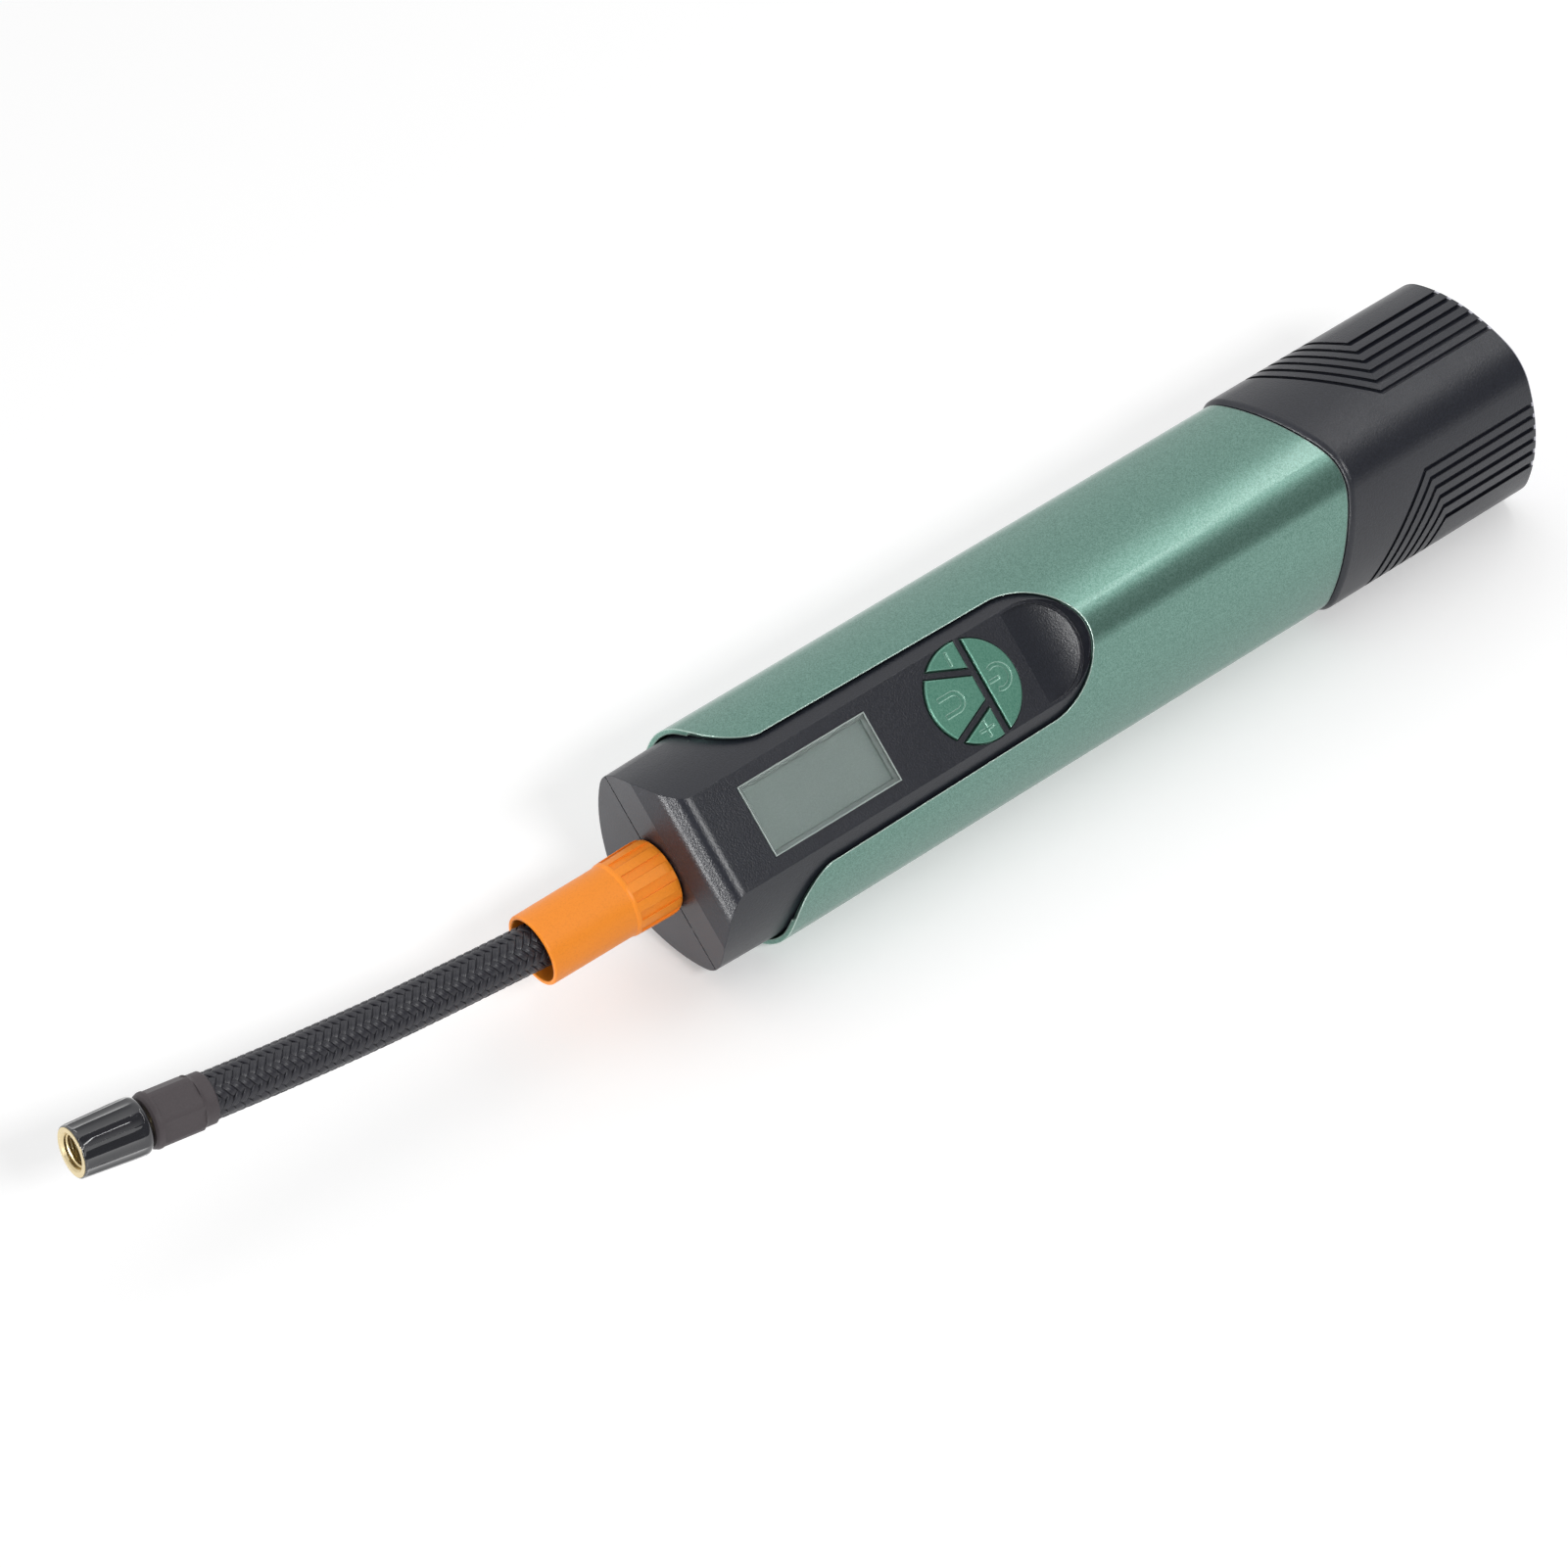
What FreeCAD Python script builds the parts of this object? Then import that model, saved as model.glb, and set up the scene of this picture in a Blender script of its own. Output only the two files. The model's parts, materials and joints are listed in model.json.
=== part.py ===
import FreeCAD, Part
import math
import os

# Portable tyre inflator, torch shaped, with a short braided hose on its nose.
#
# Local frame used by every function here: x runs along the body from the flat nose face
# (x = 0) to the rear cap, y runs to one side corner of the rounded square section, and z
# is the panel normal. place() turns a finished piece into the part's own frame, where the
# body lies on one of its flat sides and +Z is up. All lengths are in millimetres.

Vec = FreeCAD.Vector
X_AXIS = Vec(1, 0, 0)
Y_AXIS = Vec(0, 1, 0)
Z_AXIS = Vec(0, 0, 1)

# Section: a square on its corner with bulging sides
corner_half = 26.0          # axis to the corner line of the sleeve
corner_radius = 11.4        # rounding of the four corners, at the sleeve's outside
side_radius = 42.0          # bulge of the four sides, at the sleeve's outside

# Sleeve
sleeve_wall = 1.2
sleeve_gap = 0.3            # all round, between the sleeve and the shells
sleeve_front = 13.8         # its square front edge under the body
window_half = 15.65         # half width of the cut-out at its front
window_end_radius = 14.9    # round rear end of the cut-out
window_end_center = 90.0
window_front = 29.0         # where the straight edges turn into the flares
flare_x = 16.2              # x of the flare line at the side corner, z = 0
flare_lean = 0.265          # rearward lean of the flare line, x per z
flare_radius = 11.9         # bend from the flare line into the straight edge
flare_ledge = 0.15          # what is left of the wall's slanted edge, seen square to the panel
flare_ledge_low = 7.0       # below this height the edge is cut square to the side corner
window_gap = 0.35           # slit between the sleeve's edge and the body in the cut-out

# Shells
shell_wall = 2.0
front_wall = 2.5
nose_half = 23.8            # side corner of the nose face
nose_top = 25.9             # upper corner of the nose section, before the bevel
nose_length = 30.0          # the taper of the nose ends here
rim_step = 0.35             # the sleeve stands this far above the body in the cut-out
shell_end = 210.0
parting_half = 0.2          # half width of the fine line between the two shells
parting_depth = 0.45
panel_height = 19.9
panel_wall = 2.0
bevel_start = 9.8           # top of the flat nose face
bevel_knee_x = 1.4
bevel_knee_z = 16.2
bevel_top_x = 4.6
bevel_rounding = 4.0
dish_x = 97.4               # thumb dish at the rear of the panel
dish_radius = 26.0
dish_depth = 0.9
pocket_end = 105.0          # rear wall of the sunk end of the panel

# Seam between the sleeve and the cap, seen square to the panel
seam_crown = 178.3
seam_crown_radius = 30.0
seam_angle = 17.0
seam_gap = 0.25

# Rear cap
cap_end = 232.0
cap_step = 0.85             # the cap stands this far outside the sleeve
cap_wall = 2.0
cap_front_round = 1.3
cap_bulkhead_x = 226.4
cap_bulkhead = 1.8
groove_count = 6
groove_first = 9.9          # y of the outermost groove
groove_pitch = 2.46
groove_width = 0.9
groove_depth = 0.7
groove_bend_x = 199.2       # bend of the outermost groove
groove_bend_step = 1.15     # each further groove bends this much nearer the rear
groove_angle = 42.5         # lean of the forward legs, from the y axis

# Rear plate and lamp
plate_half = 26.3
plate_proud = 0.7
plate_depth = 2.4
lamp_radius = 10.0
lens_thickness = 1.6
reflector_length = 13.0
reflector_wall = 0.8
reflector_neck = 3.4
led_size = 5.0
led_height = 1.1
board_thickness = 1.2

# Display
display_front = 16.45
display_length = 34.3
display_width = 16.85
lens_height = 1.5
lens_proud = 0.25
lens_rim = 0.5
lens_ledge = 1.1
lens_gap = 0.08

# Buttons: a disc cut into one segment behind a bar and three pieces in front of it
buttons_x = 75.8
buttons_radius = 11.5
button_gap = 0.3
bar_x = 2.45                # bar centre behind the disc's centre
bar_width = 1.3
rib_angle = 22.5
rib_y = 3.5                 # the slanted ribs leave the bar at this y
button_proud = 0.7
button_flange = 0.55
button_flange_lip = 0.5
button_travel = 0.5
stem_radius = 1.5
switch_gap = 0.2            # left between stem and switch when a button is pressed

# Main board
main_board_front = 13.0
main_board_rear = 92.0
main_board_half = 13.6
main_board_top = 13.4
switch_height = 2.2
switch_size = 5.0
plunger_height = 0.5
board_post_x = 2.8          # from each end of the board
board_post_y = 10.4

# Hose nut
nut_mouth = -34.2
nut_shoulder = -12.3
nut_ribbed_radius = 8.95
nut_smooth_radius = 8.45
nut_mouth_radius = 8.33
nut_wall = 1.0
nut_gap = 0.3
flute_count = 12
flute_width = 2.2
flute_depth = 0.6
flute_length = 11.1
flute_phase = -8.2          # degrees from the panel normal
thread_radius = 6.6
thread_clearance = 0.08

# Outlet fitting and hose tail
spigot_end = -12.0
tail_flange = 1.5
tail_plug_radius = 3.4
tail_plug_length = 7.0
tail_clearance = 0.1
o_ring_thickness = 1.1
outlet_flange = 8.4
outlet_flange_thickness = 3.0
outlet_body_radius = 5.0
outlet_body_end = 16.0
air_bore = 2.0
barb_radius = 1.5
barb_length = 6.0

# Hose: its route in the plane it bends in, (x, sideways), and the tilt of that plane
hose_radius = 5.25
hose_bore = 2.5
hose_plane_angle = 26.0
hose_route = [
    (-23.0, 0.0),
    (-40.0, 1.35),
    (-58.0, 3.0),
    (-72.0, 4.4),
    (-86.0, 6.17),
    (-104.0, 8.7),
    (-113.8, 10.3),
]
bend_share = 0.45

# Ferrule and chuck, along the last run of the hose
ferrule_length = 14.9
ferrule_grip = 8.0          # how far the hose goes in
ferrule_radius = 6.25
ferrule_collar_radius = 5.75
ferrule_collar = 2.6
ferrule_flats = 11.5        # across the six pressed flats
chuck_gap = 0.8
chuck_length = 15.8
chuck_rear_radius = 6.4
chuck_front_radius = 5.8
chuck_flats = 12
chuck_flat_depth = 0.22
insert_radius = 5.3
insert_flange_radius = 5.45
insert_flange = 0.6
valve_thread_radius = 3.85
stem_outer = 3.2
stem_head_radius = 4.6
stem_head_length = 2.2
stem_clearance = 0.08
seal_thickness = 1.6
pin_radius = 0.9
pin_length = 1.5
thread_lead = 0.5           # depth of the lead-in cone at the chuck's mouth

# Pump
crank_y = -6.0
crank_throw = 4.0
crank_range = 30.0          # degrees each side of mid stroke
pinion_teeth = 11
gear_teeth = 45
tooth_module = 0.5
gear_mesh_gap = 0.15
gear_thickness = 3.0
frame_x = 97.2
frame_thickness = 2.0
frame_gap = 0.7             # gear to frame
seat_gap = 0.1
axle_radius = 2.0
running_gap = 0.05
cylinder_x = 83.8
bore_radius = 7.5
cylinder_wall = 1.4
cylinder_low = 1.5
cylinder_high = 14.0
fin_count = 3
fin_height = 0.5
fin_thickness = 0.9
head_thickness = 3.5
rod_length = 12.0
rod_thickness = 3.0
pin_size = 1.5              # radius of crank pin and wrist pin
rod_eye = 1.2               # metal round each eye
wrist_clearance = 0.4
piston_gap = 0.06
piston_above = 4.55         # crown above the wrist pin
piston_below = 2.6
piston_crown = 1.15
piston_skirt = 1.3
ring_height = 1.2
ring_depth = 0.7
valve_radius = 1.9
valve_thickness = 0.8
valve_lift = 0.6

# Motor
motor_x = 100.0
motor_length = 29.0
motor_radius = 12.0
motor_cap_length = 2.2
motor_boss_radius = 3.0
motor_boss = 2.2
motor_shaft_radius = 1.0
motor_screw_offset = 8.0

# Battery: three cells in a triangle
cell_radius = 9.1
cell_length = 65.0
cell_front = 138.2
cell_gap = 0.25
strip_thickness = 0.25

# Fasteners
case_screw_radius = 1.3
case_screw_head = 2.3
case_screw_length = 9.0
case_post_radius = 2.7
case_post_y = 17.2
case_post_x = (20.0, 134.0)
board_screw_radius = 0.9
board_screw_head = 1.8
board_screw_length = 4.5
cap_screw_radius = 1.4
cap_screw_head = 2.6
cap_post_radius = 2.9
cap_post_y = 16.4
cap_post_z = 3.6
cap_post_length = 5.5
screw_head_height = 1.5
screw_gap = 0.15

# Charging socket
socket_width = 9.0
socket_height = 3.2
socket_depth = 7.4
socket_z = -17.0
socket_gap = 0.15

# Air slots under the body
slot_count = 6
slot_first_x = 62.0
slot_pitch = 4.6
slot_width = 1.7
slot_half_length = 5.5

# Small fits and roundings shared by several pieces
dish_rim = 0.7              # flat left between the dish and the panel's edge
button_round = 0.35
board_post_radius = 2.1
cap_head_height = 1.2
lamp_room = 0.6
plate_round = 0.3
lens_lip = 0.7
nut_ledge = 1.8
barb_bore = 0.9
sensor_height = 3.0
ferrule_turn = 12.0
stem_seat = 1.6
insert_proud = 0.15
tooth_thin = 0.09
weight_thickness = 0.9
weight_radius = 6.4
motor_screw_depth = 3.0
shaft_back = 2.0            # the shaft ends this far inside the can
block_wall = 1.6
block_low = 8.0
head_screw_reach = 7.2
head_screw_depth = 4.5
head_screw_head = 0.6
head_screw_head_radius = 1.5
spring_wire = 0.22
spring_turns = 3
spring_radius = 1.4
air_tube_wall = 1.0
air_tube_bend = 9.0
ring_from_crown = 1.3
rod_web = 2.8
holder_grip = 3.0
holder_wall = 1.2
strip_room = 0.35
strip_reach = 2.0           # past the middle of each cell
strip_half = 3.0
cell_step = 0.6
cell_terminal = 3.0
cell_window = 6.6

# Derived places
core_half = corner_half - sleeve_wall - sleeve_gap
panel_top = corner_half - rim_step
panel_inside = panel_height - panel_wall
hose_start = spigot_end - tail_flange
core_inset = sleeve_wall + sleeve_gap
gear_pitch_radius = gear_teeth * tooth_module / 2
pinion_pitch_radius = pinion_teeth * tooth_module / 2
motor_y = crank_y + gear_pitch_radius + pinion_pitch_radius + gear_mesh_gap
wrist_y = crank_y + math.sqrt(rod_length ** 2 - crank_throw ** 2)
pin_drop = crank_throw * (1 - math.cos(math.radians(crank_range)))
button_top = panel_height + button_proud
flange_top = panel_inside - 0.05
stem_low = main_board_top + switch_height + plunger_height + switch_gap + button_travel
far = 80.0                  # reach of the cutting blocks beyond the body


def box(x0, x1, y0, y1, z0, z1):
    return Part.makeBox(x1 - x0, y1 - y0, z1 - z0, Vec(x0, y0, z0))


def rod_x(x0, x1, radius, y=0.0, z=0.0):
    return Part.makeCylinder(radius, x1 - x0, Vec(x0, y, z), X_AXIS)


def rod_y(y0, y1, radius, x, z=0.0):
    return Part.makeCylinder(radius, y1 - y0, Vec(x, y0, z), Y_AXIS)


def rod_z(z0, z1, radius, x, y=0.0):
    return Part.makeCylinder(radius, z1 - z0, Vec(x, y, z0), Z_AXIS)


def fuse(shapes):
    return shapes[0].multiFuse(shapes[1:]).removeSplitter()


def cut(shape, *tools):
    result = shape
    for tool in tools:
        result = result.cut(tool)
    return result


def arc(start, middle, end):
    return Part.Arc(start, middle, end).toShape()


def line(start, end):
    return Part.LineSegment(start, end).toShape()


def quarter(side, top, inset):
    """Tangent points and middle of the bulging side between a side and a top corner, in (y, z)."""
    small = corner_radius - inset
    large = side_radius - inset
    side_center = side - corner_radius
    top_center = top - corner_radius
    half_span = math.hypot(side_center, top_center) / 2
    rise = math.sqrt((large - small) ** 2 - half_span ** 2)
    cy = side_center / 2 - rise * top_center / (2 * half_span)
    cz = top_center / 2 - rise * side_center / (2 * half_span)
    span = large - small
    low = (side_center + small * (side_center - cy) / span, -small * cz / span)
    high = (-small * cy / span, top_center + small * (top_center - cz) / span)
    angle = (math.atan2(low[1] - cz, low[0] - cy) + math.atan2(high[1] - cz, high[0] - cy)) / 2
    middle = (cy + large * math.cos(angle), cz + large * math.sin(angle))
    return low, middle, high


def section(x, side, top, bottom, inset=0.0):
    """Closed outline of the body at x; side, top and bottom are sizes before the inset."""
    low, middle, high = quarter(side, top, inset)
    low2, middle2, high2 = quarter(side, bottom, inset)

    def at(point, y_sign, z_sign):
        return Vec(x, y_sign * point[0], z_sign * point[1])

    side_tip = (side - inset, 0.0)
    edges = [
        arc(at(low2, 1, -1), at(side_tip, 1, 1), at(low, 1, 1)),
        arc(at(low, 1, 1), at(middle, 1, 1), at(high, 1, 1)),
        arc(at(high, 1, 1), Vec(x, 0, top - inset), at(high, -1, 1)),
        arc(at(high, -1, 1), at(middle, -1, 1), at(low, -1, 1)),
        arc(at(low, -1, 1), at(side_tip, -1, 1), at(low2, -1, -1)),
        arc(at(low2, -1, -1), at(middle2, -1, -1), at(high2, -1, -1)),
        arc(at(high2, -1, -1), Vec(x, 0, -(bottom - inset)), at(high2, 1, -1)),
        arc(at(high2, 1, -1), at(middle2, 1, -1), at(low2, 1, -1)),
    ]
    return Part.Wire(edges)


def bar(x0, x1, half, inset=0.0):
    """Straight length of the body section; half is the size before the inset."""
    face = Part.Face(section(x0, half, half, half, inset))
    return face.extrude(Vec(x1 - x0, 0, 0))


def sleeve_bar(x0, x1, inset):
    return bar(x0, x1, corner_half, inset)


def flat_half(half):
    """Axis to the middle of a side, for a section of this corner size without inset."""
    low, middle, high = quarter(half, half, corner_half - half)
    return math.hypot(middle[0], middle[1])


def outline_prism(points, direction):
    """Prism of a closed polygon of vectors, pushed along direction."""
    wire = Part.makePolygon(points + [points[0]])
    return Part.Face(wire).extrude(direction)


def rounded_path(points, radii):
    """Edges through points in one plane, with an arc of the given radius at inner points."""
    edges = []
    last = points[0]
    for index in range(1, len(points) - 1):
        corner = points[index]
        back = (points[index - 1] - corner).normalize()
        ahead = (points[index + 1] - corner).normalize()
        radius = radii[index - 1]
        half = back.getAngle(ahead) / 2
        reach = radius / math.tan(half)
        start = corner + back * reach
        end = corner + ahead * reach
        bisector = (back + ahead).normalize()
        middle = corner + bisector * (radius / math.sin(half) - radius)
        edges.append(line(last, start))
        edges.append(arc(start, middle, end))
        last = end
    edges.append(line(last, points[-1]))
    return edges


def flare_block(gap):
    """Everything in front of the sleeve's S-shaped front edges, seen from the side."""
    shift = gap / math.cos(math.atan(flare_lean))
    foot_x = sleeve_front - gap
    foot_z = (foot_x - flare_x + shift) / flare_lean
    top = window_edge_height() + gap
    knee_x = flare_x - shift + flare_lean * top
    y = -far
    points = [
        Vec(foot_x, y, -far),
        Vec(foot_x, y, foot_z),
        Vec(knee_x, y, top),
        Vec(window_front + 2.0, y, top),
    ]
    bend = flare_radius + gap
    edges = rounded_path(points, [bend, bend])
    edges.append(line(points[-1], Vec(window_front + 2.0, y, far)))
    edges.append(line(Vec(window_front + 2.0, y, far), Vec(-far, y, far)))
    edges.append(line(Vec(-far, y, far), Vec(-far, y, -far)))
    edges.append(line(Vec(-far, y, -far), points[0]))
    return Part.Face(Part.Wire(edges)).extrude(Vec(0, 2 * far, 0))


def flare_trim(gap):
    """Cuts the flare's wall square to the panel, up to a narrow ledge at its outside."""
    shift = gap / math.cos(math.atan(flare_lean))
    top = window_edge_height() + gap
    knee_x = flare_x - shift + flare_lean * top
    half_turn = math.radians(45) - math.atan(flare_lean) / 2
    bend = flare_radius + gap
    end_x = knee_x + bend * math.tan(half_turn)
    start = 2 * half_turn
    steps = 6
    side = []
    for index in range(steps + 1):
        angle = start * (1 - index / steps)
        x = end_x - bend * math.sin(angle)
        z = top - bend * (1 - math.cos(angle))
        side.append(Vec(x, surface_height(corner_half, z) - flare_ledge, flare_ledge_low))
    other = [Vec(point.x, -point.y, point.z) for point in reversed(side)]
    edges = []
    for points in (side, other):
        curve = Part.BSplineCurve()
        curve.interpolate(points)
        edges.append(curve.toShape())
    front = [Vec(-far, side[0].y, flare_ledge_low), Vec(-far, -side[0].y, flare_ledge_low)]
    wire = [edges[0], line(side[-1], other[0]), edges[1], line(other[-1], front[1]),
            line(front[1], front[0]), line(front[0], side[0])]
    return Part.Face(Part.Wire(wire)).extrude(Vec(0, 0, far))


def surface_height(half, y):
    """Height of the upper bulging side at y, for a section of this corner size."""
    inset = corner_half - half
    low, middle, high = quarter(corner_half, corner_half, inset)
    small_center = corner_half - corner_radius
    half_span = small_center / math.sqrt(2)
    rise = math.sqrt((side_radius - corner_radius) ** 2 - half_span ** 2)
    center = small_center / 2 - rise / math.sqrt(2)
    return center + math.sqrt((side_radius - inset) ** 2 - (y - center) ** 2)


def window_edge_height():
    return surface_height(corner_half, window_half)


def window_block(gap):
    """The cut-out over the panel, seen square to the panel."""
    end_half = window_end_radius - gap
    front_half = window_half - gap
    tip = window_end_center + end_half
    points = [
        Vec(window_front, -front_half, 0),
        Vec(window_end_center, -end_half, 0),
        Vec(tip, 0, 0),
        Vec(window_end_center, end_half, 0),
        Vec(window_front, front_half, 0),
    ]
    edges = [
        line(points[0], points[1]),
        arc(points[1], points[2], points[3]),
        line(points[3], points[4]),
        line(points[4], points[0]),
    ]
    return Part.Face(Part.Wire(edges)).extrude(Vec(0, 0, far))


def sleeve_opening(gap):
    return flare_block(gap).fuse(window_block(gap))


def behind_seam(shift):
    """Everything behind the curved seam, moved rearwards by shift."""
    angle = math.radians(seam_angle)
    crown = seam_crown + shift
    y_end = seam_crown_radius * math.sin(angle)
    x_end = crown - seam_crown_radius * (1 - math.cos(angle))
    y_far = corner_half + 10
    x_far = x_end - (y_far - y_end) * math.tan(angle)
    z = -far
    left = Vec(x_far, -y_far, z)
    left_end = Vec(x_end, -y_end, z)
    right_end = Vec(x_end, y_end, z)
    right = Vec(x_far, y_far, z)
    back_right = Vec(cap_end + far, y_far, z)
    back_left = Vec(cap_end + far, -y_far, z)
    edges = [
        line(left, left_end),
        arc(left_end, Vec(crown, 0, z), right_end),
        line(right_end, right),
        line(right, back_right),
        line(back_right, back_left),
        line(back_left, left),
    ]
    return Part.Face(Part.Wire(edges)).extrude(Vec(0, 0, 2 * far))


def air_slots(z_high):
    """Row of slots through the lower corner of the sleeve and the lower shell."""
    slots = []
    for index in range(slot_count):
        x = slot_first_x + index * slot_pitch
        slots.append(box(x, x + slot_width, -slot_half_length, slot_half_length, -far, z_high))
    return Part.makeCompound(slots)


def sleeve():
    tube = sleeve_bar(sleeve_front, seam_crown, 0).cut(
        sleeve_bar(sleeve_front - 1, seam_crown + 1, sleeve_wall))
    opening = sleeve_opening(0).fuse(flare_trim(0))
    return cut(tube, behind_seam(-seam_gap / 2), opening, air_slots(0))


def shell_section(x, side, top, bottom, inset=0.0):
    """Body outline whose roundings run parallel to the sleeve's; sizes are before the inset."""
    extra = core_inset
    return section(x, side + extra, top + extra, bottom + extra, extra + inset)


def nose_form(inset, x_front):
    """Tapered nose up to nose_length, cut short at x_front."""
    share = x_front / nose_length
    side = nose_half + (core_half - nose_half) * share
    top = nose_top + (panel_top - nose_top) * share
    front = shell_section(x_front, side, top, side, inset)
    rear = shell_section(nose_length, core_half, panel_top, core_half, inset)
    return Part.makeLoft([front, rear], True, True)


def panel_form(inset, x_end):
    face = Part.Face(shell_section(nose_length, core_half, panel_top, core_half, inset))
    return face.extrude(Vec(x_end - nose_length, 0, 0))


def circle_through(a, b, c):
    d = 2 * (a[0] * (b[1] - c[1]) + b[0] * (c[1] - a[1]) + c[0] * (a[1] - b[1]))
    aa, bb, cc = (p[0] ** 2 + p[1] ** 2 for p in (a, b, c))
    x = (aa * (b[1] - c[1]) + bb * (c[1] - a[1]) + cc * (a[1] - b[1])) / d
    y = (aa * (c[0] - b[0]) + bb * (a[0] - c[0]) + cc * (b[0] - a[0])) / d
    return x, y, math.hypot(a[0] - x, a[1] - y)


def panel_half():
    """Half width of the flat panel, where its plane meets the body's rounding."""
    low, middle, high = quarter(core_half + core_inset, panel_top + core_inset, core_inset)
    cy, cz, radius = circle_through(low, middle, high)
    return cy + math.sqrt(radius ** 2 - (panel_height - cz) ** 2)


def panel_center():
    """x of the middle of the panel's round rear end."""
    return pocket_end - panel_half()


def bevel_block(back, down):
    """Air above the nose bevel and the flat of the panel, moved back and down."""
    y = -far
    end = Vec(panel_center() + back, y, panel_height - down)
    points = [
        Vec(back - 2 * shell_wall, y, bevel_start - down),
        Vec(back, y, bevel_start - down),
        Vec(back + bevel_knee_x, y, bevel_knee_z - down),
        Vec(back + bevel_top_x, y, panel_height - down),
        end,
    ]
    path = [line(points[0], points[1])]
    path += rounded_path(points[1:], [bevel_rounding, bevel_rounding])
    path.append(line(end, Vec(end.x, y, far)))
    path.append(line(Vec(end.x, y, far), Vec(points[0].x, y, far)))
    path.append(line(Vec(points[0].x, y, far), points[0]))
    return Part.Face(Part.Wire(path)).extrude(Vec(0, 2 * far, 0))


def panel_outline(x0, z0, z1, shrink=0.0):
    """Plan of the panel's rear part: straight sides and a round end."""
    half = panel_half() - shrink
    straight = box(x0, panel_center(), -half, half, z0, z1)
    return straight.fuse(rod_z(z0, z1, half, panel_center())).removeSplitter()


def dish():
    """Shallow scoop for the thumb, across the panel's rear end."""
    scoop = rod_y(-far, far, dish_radius, dish_x, panel_height - dish_depth + dish_radius)
    return scoop.common(panel_outline(buttons_x, panel_inside, panel_height + 1, dish_rim))


def shell_form():
    """Outside of both shells together."""
    blend = nose_form(0, 0).fuse(panel_form(0, pocket_end + 1))
    opening = sleeve_opening(window_gap).fuse(flare_trim(window_gap))
    shown = blend.common(opening)
    covered = nose_form(0, 0).common(sleeve_bar(-1, nose_length, core_inset))
    core = sleeve_bar(nose_length, shell_end, core_inset)
    form = fuse([core, covered, shown])
    sunk_end = rod_z(panel_height, far, panel_half(), panel_center())
    return cut(form, bevel_block(0, 0), sunk_end, dish())


def shell_cavity():
    """Room inside the shells."""
    nose = nose_form(shell_wall, front_wall).common(
        sleeve_bar(0, nose_length, core_inset + shell_wall))
    core = sleeve_bar(nose_length, shell_end + 1, core_inset + shell_wall)
    over_panel = box(0, pocket_end + shell_wall, -far, far, panel_inside, far)
    return cut(nose.fuse(core), bevel_block(front_wall, panel_wall), over_panel)


def case_places():
    return [(x, side * case_post_y) for x in case_post_x for side in (-1, 1)]


def board_places():
    ends = (main_board_front + board_post_x, main_board_rear - board_post_x)
    return [(x, side * board_post_y) for x in ends for side in (-1, 1)]


def cap_screw_places():
    return [(cap_post_y, cap_post_z), (-cap_post_y, -cap_post_z)]


def parting_groove():
    """Fine groove round the nose, where the edges of the two halves are eased."""
    slab = box(-1, nose_length, -far, far, -parting_half, parting_half)
    return slab.cut(nose_form(parting_depth, parting_depth))


def shell_half(upper):
    """One moulded half of the black case, split at z = 0."""
    form = shell_form().cut(parting_groove())
    cavity = shell_cavity()
    z0, z1 = (0, far) if upper else (-far, 0)
    half = box(-far, cap_end + far, -far, far, z0, z1)
    inside = form.common(half)
    shell = inside.cut(cavity)
    posts = []
    for x, y in case_places():
        posts.append(rod_z(min(z0, 0), max(z1, 0), case_post_radius, x, y))
    for y, z in cap_screw_places():
        if (z > 0) == upper:
            x0 = shell_end - cap_post_length
            web = cap_post_radius / 2
            posts.append(rod_x(x0, shell_end, cap_post_radius, y, z))
            posts.append(box(x0, shell_end, min(y, y * far), max(y, y * far), z - web, z + web))
    if upper:
        for x, y in board_places():
            posts.append(rod_z(main_board_top, panel_inside + 0.5, board_post_radius, x, y))
    posts = Part.makeCompound(posts).common(inside)
    shell = shell.fuse(posts).removeSplitter()
    shell = shell.cut(rod_x(-1, front_wall + 1, thread_radius + tail_clearance))
    for x, y in case_places():
        shell = shell.cut(rod_z(-case_screw_length / 2, case_screw_length / 2,
                                case_screw_radius, x, y))
        if not upper:
            shell = shell.cut(rod_z(-far, -case_screw_length / 2, case_screw_head + 0.2, x, y))
    for y, z in cap_screw_places():
        shell = shell.cut(rod_x(shell_end - cap_post_length, shell_end + 1, cap_screw_radius, y, z))
    if not upper:
        return shell.cut(air_slots(-core_half + 3 * shell_wall))
    for x, y in board_places():
        shell = shell.cut(rod_z(main_board_top - 1, main_board_top + board_screw_length - board_thickness,
                                board_screw_radius, x, y))
    shell = shell.cut(display_pocket())
    lip_room = button_flange_lip + 2 * button_gap
    lip_low = flange_top - button_flange - button_travel - button_gap
    for kind in BUTTONS:
        shell = shell.cut(button_piece(kind, button_gap, panel_inside - 1, far))
        shell = shell.cut(button_piece(kind, lip_room, lip_low, panel_inside))
    return shell


def lens_low():
    return panel_height + lens_proud - lens_height


def display_pocket():
    x0 = display_front
    x1 = display_front + display_length
    half = display_width / 2
    seat = box(x0 - lens_gap, x1 + lens_gap, -half - lens_gap, half + lens_gap, lens_low(), far)
    hole = box(x0 + lens_ledge, x1 - lens_ledge, -half + lens_ledge, half - lens_ledge,
               panel_inside - 1, far)
    return seat.fuse(hole)


def display_lens():
    x1 = display_front + display_length
    half = display_width / 2
    top = panel_height + lens_proud
    lens = box(display_front, x1, -half, half, lens_low(), top)
    rim = [edge for edge in lens.Edges if edge.BoundBox.ZMin > top - 0.01]
    return lens.makeChamfer(lens_rim, rim)


def display_panel():
    """Liquid crystal glass in its frame, standing on the main board."""
    half = display_width / 2 - lens_ledge
    x0 = display_front + lens_ledge
    x1 = display_front + display_length - lens_ledge
    return box(x0, x1, -half, half, main_board_top, panel_inside - 0.1)


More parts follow.
